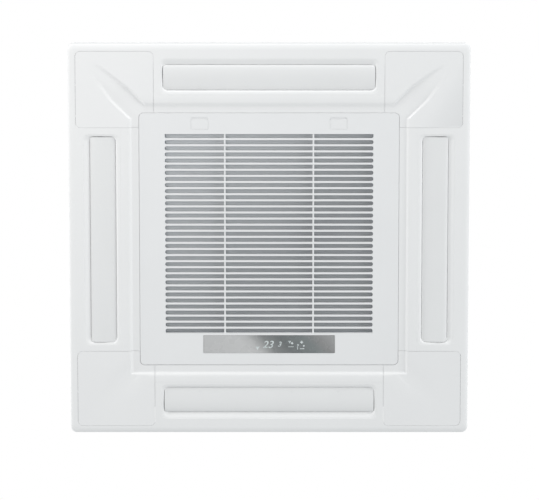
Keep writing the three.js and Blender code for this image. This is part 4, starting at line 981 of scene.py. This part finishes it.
def makeWindow():
    d, g = display, grille
    pane = box("displayPane", around(0, d["half"]), (d["from"], d["to"]), (g["low"] + 0.05, g["low"] + d["thick"]),
               d["corner"], 4)
    return finishEdges(pane, 0.35, 2)


def makeText(body, x, y, size, lean):
    deselectAll()
    bpy.ops.object.text_add(location=(x / 1000, y / 1000, (grille["low"] + 0.03) / 1000), rotation=(math.pi, 0, 0))
    text = bpy.context.active_object
    text.data.body = body
    text.data.size = size / 1000
    text.data.align_x = "CENTER"
    text.data.align_y = "CENTER"
    text.data.shear = lean
    text.data.offset = 0.0003
    text.data.extrude = figures["thick"] / 1000
    activate(text)
    bpy.ops.object.convert(target="MESH")
    return named("figure")


def makeFigures():
    zs = grille["low"] - 0.01, grille["low"] + 0.06
    parts = [makeText(*text) for text in figures["texts"]]
    parts += [rod("mark", size, zs, (x, y), "Z", sides) for sides, size, x, y in figures["marks"]]
    parts += [box("stroke", xs, ys, zs) for xs, ys in figures["strokes"]]
    return joined("displayFigures", parts)


settle(makeWindow(), "grille", "window", "display_window")
settle(makeFigures(), "grille", "figures")
print("stage: display")


casing = {"half": 420, "side": 419.2, "low": 15, "top": 260, "chamfer": 62, "wall": 1.2, "lidLow": 246,
          "footHigh": 23,
          "doorY": 290, "doorHalf": 24, "doorZ": (80, 190), "doorScrew": (421.8, 22.5, (79, 191)),
          "spigotX": 330, "spigotZ": 195, "spigotHole": 15, "blank": 62, "blankZ": 140,
          "screwRow": (-345, -115, 115, 345), "screwDrop": 7}
# the dished crown: z and radius; its bolts: radius of their circle, z and turns
crown = {"foot": 123, "rings": [(261, 120.6), (262, 118.4), (262.4, 117), (262.5, 114), (262.4, 109), (261.9, 106),
                                (261, 104), (260.6, 102), (260.4, 99)], "bolts": (84, 260.4, (90, 210, 330))}
# a pressed rib of the lid: its rise is inset and z
lidRib = {"from": 150, "to": 420, "half": 9, "corner": 8.5,
          "rise": [(1.5, 260.7), (3, 261.7), (4, 262.2), (5.4, 262.45), (6.5, 262.5)]}
cablePlate = {"y": (180, 290), "z": (52, 108), "out": 1.4, "in": 0.2, "corner": 4, "screwInset": 7}
grommetSize = {"radius": 12, "x": (-423.5, -420), "at": (235, 80), "rims": [(4.5, 0), (0.6, -2.5)]}
screwSize = {"washer": 4.6, "head": 3.1, "washerHigh": 0.7, "headHigh": 2}


def screwAt(place, axis, side):
    # a hexagon head on its washer; place is on the sheet, side says which way the head points
    s = screwSize
    order = "XYZ".index(axis)
    at = [v for k, v in enumerate(place) if k != order]
    low = place[order]
    washer = rod("washer", s["washer"], sorted((low - 0.2 * side, low + s["washerHigh"] * side)), at, axis, 20)
    head = rod("head", s["head"], sorted((low, low + s["headHigh"] * side)), at, axis, 6)
    return joined("screw", [washer, head])


def octagonTool(half, chamfer, low, high):
    tool = square("octagonTool", half, low, high, chamfer, 1)
    roundEdges(tool, isUpright, 2.5, 3)
    return tool


def makeCasing():
    c = casing
    half, side, low, top, chamfer = (c[key] for key in ("half", "side", "low", "top", "chamfer"))
    shell = octagonTool(side, chamfer, low, top - 0.5)
    cut(shell, octagonTool(side - c["wall"], chamfer, low - 5, top - c["wall"]))
    lid = octagonTool(half, chamfer, c["lidLow"], top)
    roundEdges(lid, lambda e: middle(e).z > top - 0.1, 1.8, 3)
    cut(lid, octagonTool(side - 0.4, chamfer, c["lidLow"] - 5, top - c["wall"]))
    foot = octagonTool(half, chamfer, low, c["footHigh"])
    cut(foot, octagonTool(side - 0.4, chamfer, low - 5, c["footHigh"] + 5))
    through = around(half, 5)
    cut(shell, box("doorTool", through, around(c["doorY"], c["doorHalf"]), c["doorZ"]),
        rod("spigotTool", c["spigotHole"], through, (c["spigotX"], c["spigotZ"]), "Y", 32))
    parts = [finishEdges(piece, 0, smooth=30) for piece in (shell, lid, foot)]
    dish = rod("crown", crown["foot"], (top - 0.6, top - 0.2), (0, 0), "Z", 96)
    liftFaces(dish, facesUp, squareSteps([(top - 0.2, crown["foot"])] + crown["rings"]))
    parts.append(finishEdges(dish, 0))
    r = lidRib
    for k in range(4):
        z = top - 0.1
        rib = box("rib", (r["from"], r["to"]), around(0, r["half"]), (top - 0.6, z), r["corner"], 8)
        centre, fullLength = (r["from"] + r["to"]) / 2, (r["to"] - r["from"]) / 2
        length, width, steps = fullLength, r["half"], []
        for inset, nextZ in r["rise"]:
            nextLength, nextWidth = fullLength - inset, r["half"] - inset
            steps.append(((0, 0, nextZ - z), (nextLength / length, nextWidth / width, 1), (centre, 0, nextZ)))
            length, width, z = nextLength, nextWidth, nextZ
        liftFaces(rib, facesUp, steps)
        parts.append(finishEdges(turned(rib, 45 + 90 * k), 0))
    # a round blank for fresh air on one side, held by a pressed rim
    blank = rod("blank", c["blank"], (-side - 0.7, -side + 0.3), (0, c["blankZ"]), "X", 72)
    insetFaces(blank, lambda f: f.normal.x < -0.9, (3, 0), (1.2, -0.6))
    parts.append(finishEdges(blank, 0.25, 2))
    p = cablePlate
    plate = box("cablePlate", (-side - p["out"], -side + p["in"]), p["y"], p["z"])
    roundEdges(plate, lambda e: along(e, 0), p["corner"], 4)
    parts.append(finishEdges(plate, 0.4, 2))
    return joined("cabinetShell", parts)


def makeCasingScrews():
    c = casing
    parts = []
    for at in c["screwRow"]:
        for side in (-1, 1):
            parts.append(screwAt((c["half"] * side, at, c["top"] - c["screwDrop"]), "X", side))
            parts.append(screwAt((at, c["half"] * side, c["top"] - c["screwDrop"]), "Y", side))
    radius, z, turns = crown["bolts"]
    for t in map(math.radians, turns):
        parts.append(screwAt((radius * math.cos(t), radius * math.sin(t), z), "Z", 1))
    inset = cablePlate["screwInset"]
    for z in (cablePlate["z"][0] + inset, cablePlate["z"][1] - inset):
        for y in (cablePlate["y"][0] + inset, cablePlate["y"][1] - inset):
            parts.append(screwAt((-c["side"] - cablePlate["out"], y, z), "X", -1))
    x, half, zs = c["doorScrew"]
    for y in around(c["doorY"], half):
        for z in zs:
            parts.append(screwAt((x, y, z), "X", 1))
    return finishEdges(joined("casingScrews", parts), 0.25, 2)


settle(makeCasing(), "unit", "zinc", "cabinet_casing")
settle(makeCasingScrews(), "unit", "screw")
grommet = rod("cableGrommet", grommetSize["radius"], grommetSize["x"], grommetSize["at"], "X", 32)
insetFaces(grommet, lambda f: f.normal.x < -0.9, *grommetSize["rims"])
settle(finishEdges(grommet, 0.8, 3), "unit", "rubber")
print("stage: casing")

# the CAD nodes that only need softer edges and smoother shading: edge width in mm, smoothing angle
softened = {
    "panel_seal": (1.2, 34), "gas_pipe": (0, 40), "liquid_pipe": (0, 40), "gas_flare_nut": (0.6, 25),
    "liquid_flare_nut": (0.5, 25), "pipe_plate": (0.3, 34), "drain_spigot": (0.6, 40), "turbo_fan": (0, 34),
    "bell_mouth": (0, 34), "fan_nut": (0.5, 25), "fan_motor": (0.8, 40), "fan_shaft": (0.3, 40),
    "filter_frame": (0.35, 34), "control_box": (0.4, 34), "control_cover": (0.4, 34), "terminal_block": (0.3, 34),
    "drain_pump": (0.5, 40), "drain_float": (0.4, 40), "drain_pan": (1, 34), "foam_liner": (1, 34),
}
for k in range(1, 5):
    softened[f"hanger_{k}"] = (0.6, 34)
    softened[f"vane_stepper_{k}"] = softened[f"vane_bush_{k}"] = (0.3, 34)
for k in range(1, 4):
    softened[f"motor_isolator_{k}"] = (0.5, 40)


def soften(node, width, smooth):
    # a copy of the node, merged before its edges are broken; the node itself stays as it is
    piece = addObject(node.replace("_", "") + "Soft", nodes[node].data.copy())
    choose(piece, "verts", lambda v: True)
    bpy.ops.mesh.remove_doubles(threshold=0.00002)
    bpy.ops.mesh.normals_make_consistent(inside=False)
    deselectAll()
    finishEdges(piece, width, 2, 30, smooth)
    return settle(piece, nodes[node]["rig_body"], lookOf[node], node)


for node, (width, smooth) in softened.items():
    soften(node, width, smooth)
print("stage: softened copies", len(softened))


def setCamera():
    v = viewPoint
    tilt = math.radians(v["tilt"])
    ahead = Vector((0, math.sin(tilt), math.cos(tilt)))
    up = Vector((0, -math.cos(tilt), math.sin(tilt)))
    aim = Vector((v["aimRight"], 0, faceZ)) + up * v["aimUp"]
    data = bpy.data.cameras.new("photoCamera")
    data.lens = v["lens"]
    data.sensor_width = 36
    data.clip_start = 0.1
    data.clip_end = 100
    camera = addObject("photoCamera", data)
    camera.location = (aim - ahead * v["distance"]) / 1000
    camera.rotation_euler = ahead.to_track_quat("-Z", "Y").to_euler()
    bpy.context.scene.camera = camera


def setFloor():
    s = stageSize
    deselectAll()
    bpy.ops.mesh.primitive_plane_add(size=s["floorHalf"] / 500, location=(0, 0, s["floorZ"] / 1000))
    floor = named("studioFloor")
    material, tree, shader = newMaterial("studioFloor", {"Roughness": 0.9, "Specular IOR Level": 0.1})
    haze = noiseOn(tree, placeOn(tree), 0.6)
    link(tree, blendColours(tree, haze, (0.9, 0.9, 0.9, 1), (0.93, 0.93, 0.93, 1)), shader.inputs["Base Color"])
    clear = tree.nodes.new("ShaderNodeBsdfTransparent")
    mix = tree.nodes.new("ShaderNodeMixShader")
    link(tree, tree.nodes.new("ShaderNodeNewGeometry").outputs["Backfacing"], mix.inputs[0])
    link(tree, shader.outputs[0], mix.inputs[1])
    link(tree, clear.outputs[0], mix.inputs[2])
    link(tree, mix.outputs[0], tree.nodes["Material Output"].inputs["Surface"])
    floor.data.materials.append(material)
    floor.visible_shadow = False
    floor.visible_diffuse = False


def setLamps():
    for name, lamp in lamps.items():
        data = bpy.data.lights.new(name, "AREA")
        data.energy = lamp["power"]
        data.color = lamp.get("tint", (1, 1, 1))
        data.shape = "DISK"
        data.size = lamp["size"] / 1000
        light = addObject(name, data)
        light.location = [v / 1000 for v in lamp["place"]]
        light.rotation_euler = (-light.location).to_track_quat("-Z", "Y").to_euler()
        light.visible_camera = False
    world = bpy.data.worlds.new("studio")
    bpy.context.scene.world = world
    world.use_nodes = True
    tree = world.node_tree
    soft = tree.nodes["Background"]
    soft.inputs["Color"].default_value = (*stageSize["sky"], 1)
    soft.inputs["Strength"].default_value = stageSize["world"]
    seen = tree.nodes.new("ShaderNodeBackground")
    seen.inputs["Color"].default_value = (1, 1, 1, 1)
    seen.inputs["Strength"].default_value = 1
    rays = tree.nodes.new("ShaderNodeLightPath")
    direct = calculate(tree, "MAXIMUM", rays.outputs["Is Camera Ray"],
                       calculate(tree, "MAXIMUM", rays.outputs["Is Glossy Ray"],
                                 rays.outputs["Is Transmission Ray"]))
    mix = tree.nodes.new("ShaderNodeMixShader")
    link(tree, direct, mix.inputs[0])
    link(tree, soft.outputs[0], mix.inputs[1])
    link(tree, seen.outputs[0], mix.inputs[2])
    link(tree, mix.outputs[0], tree.nodes["World Output"].inputs["Surface"])


setCamera()
setFloor()
setLamps()
bpy.context.scene.view_settings.view_transform = "Standard"
print("stage: camera, floor and lamps")
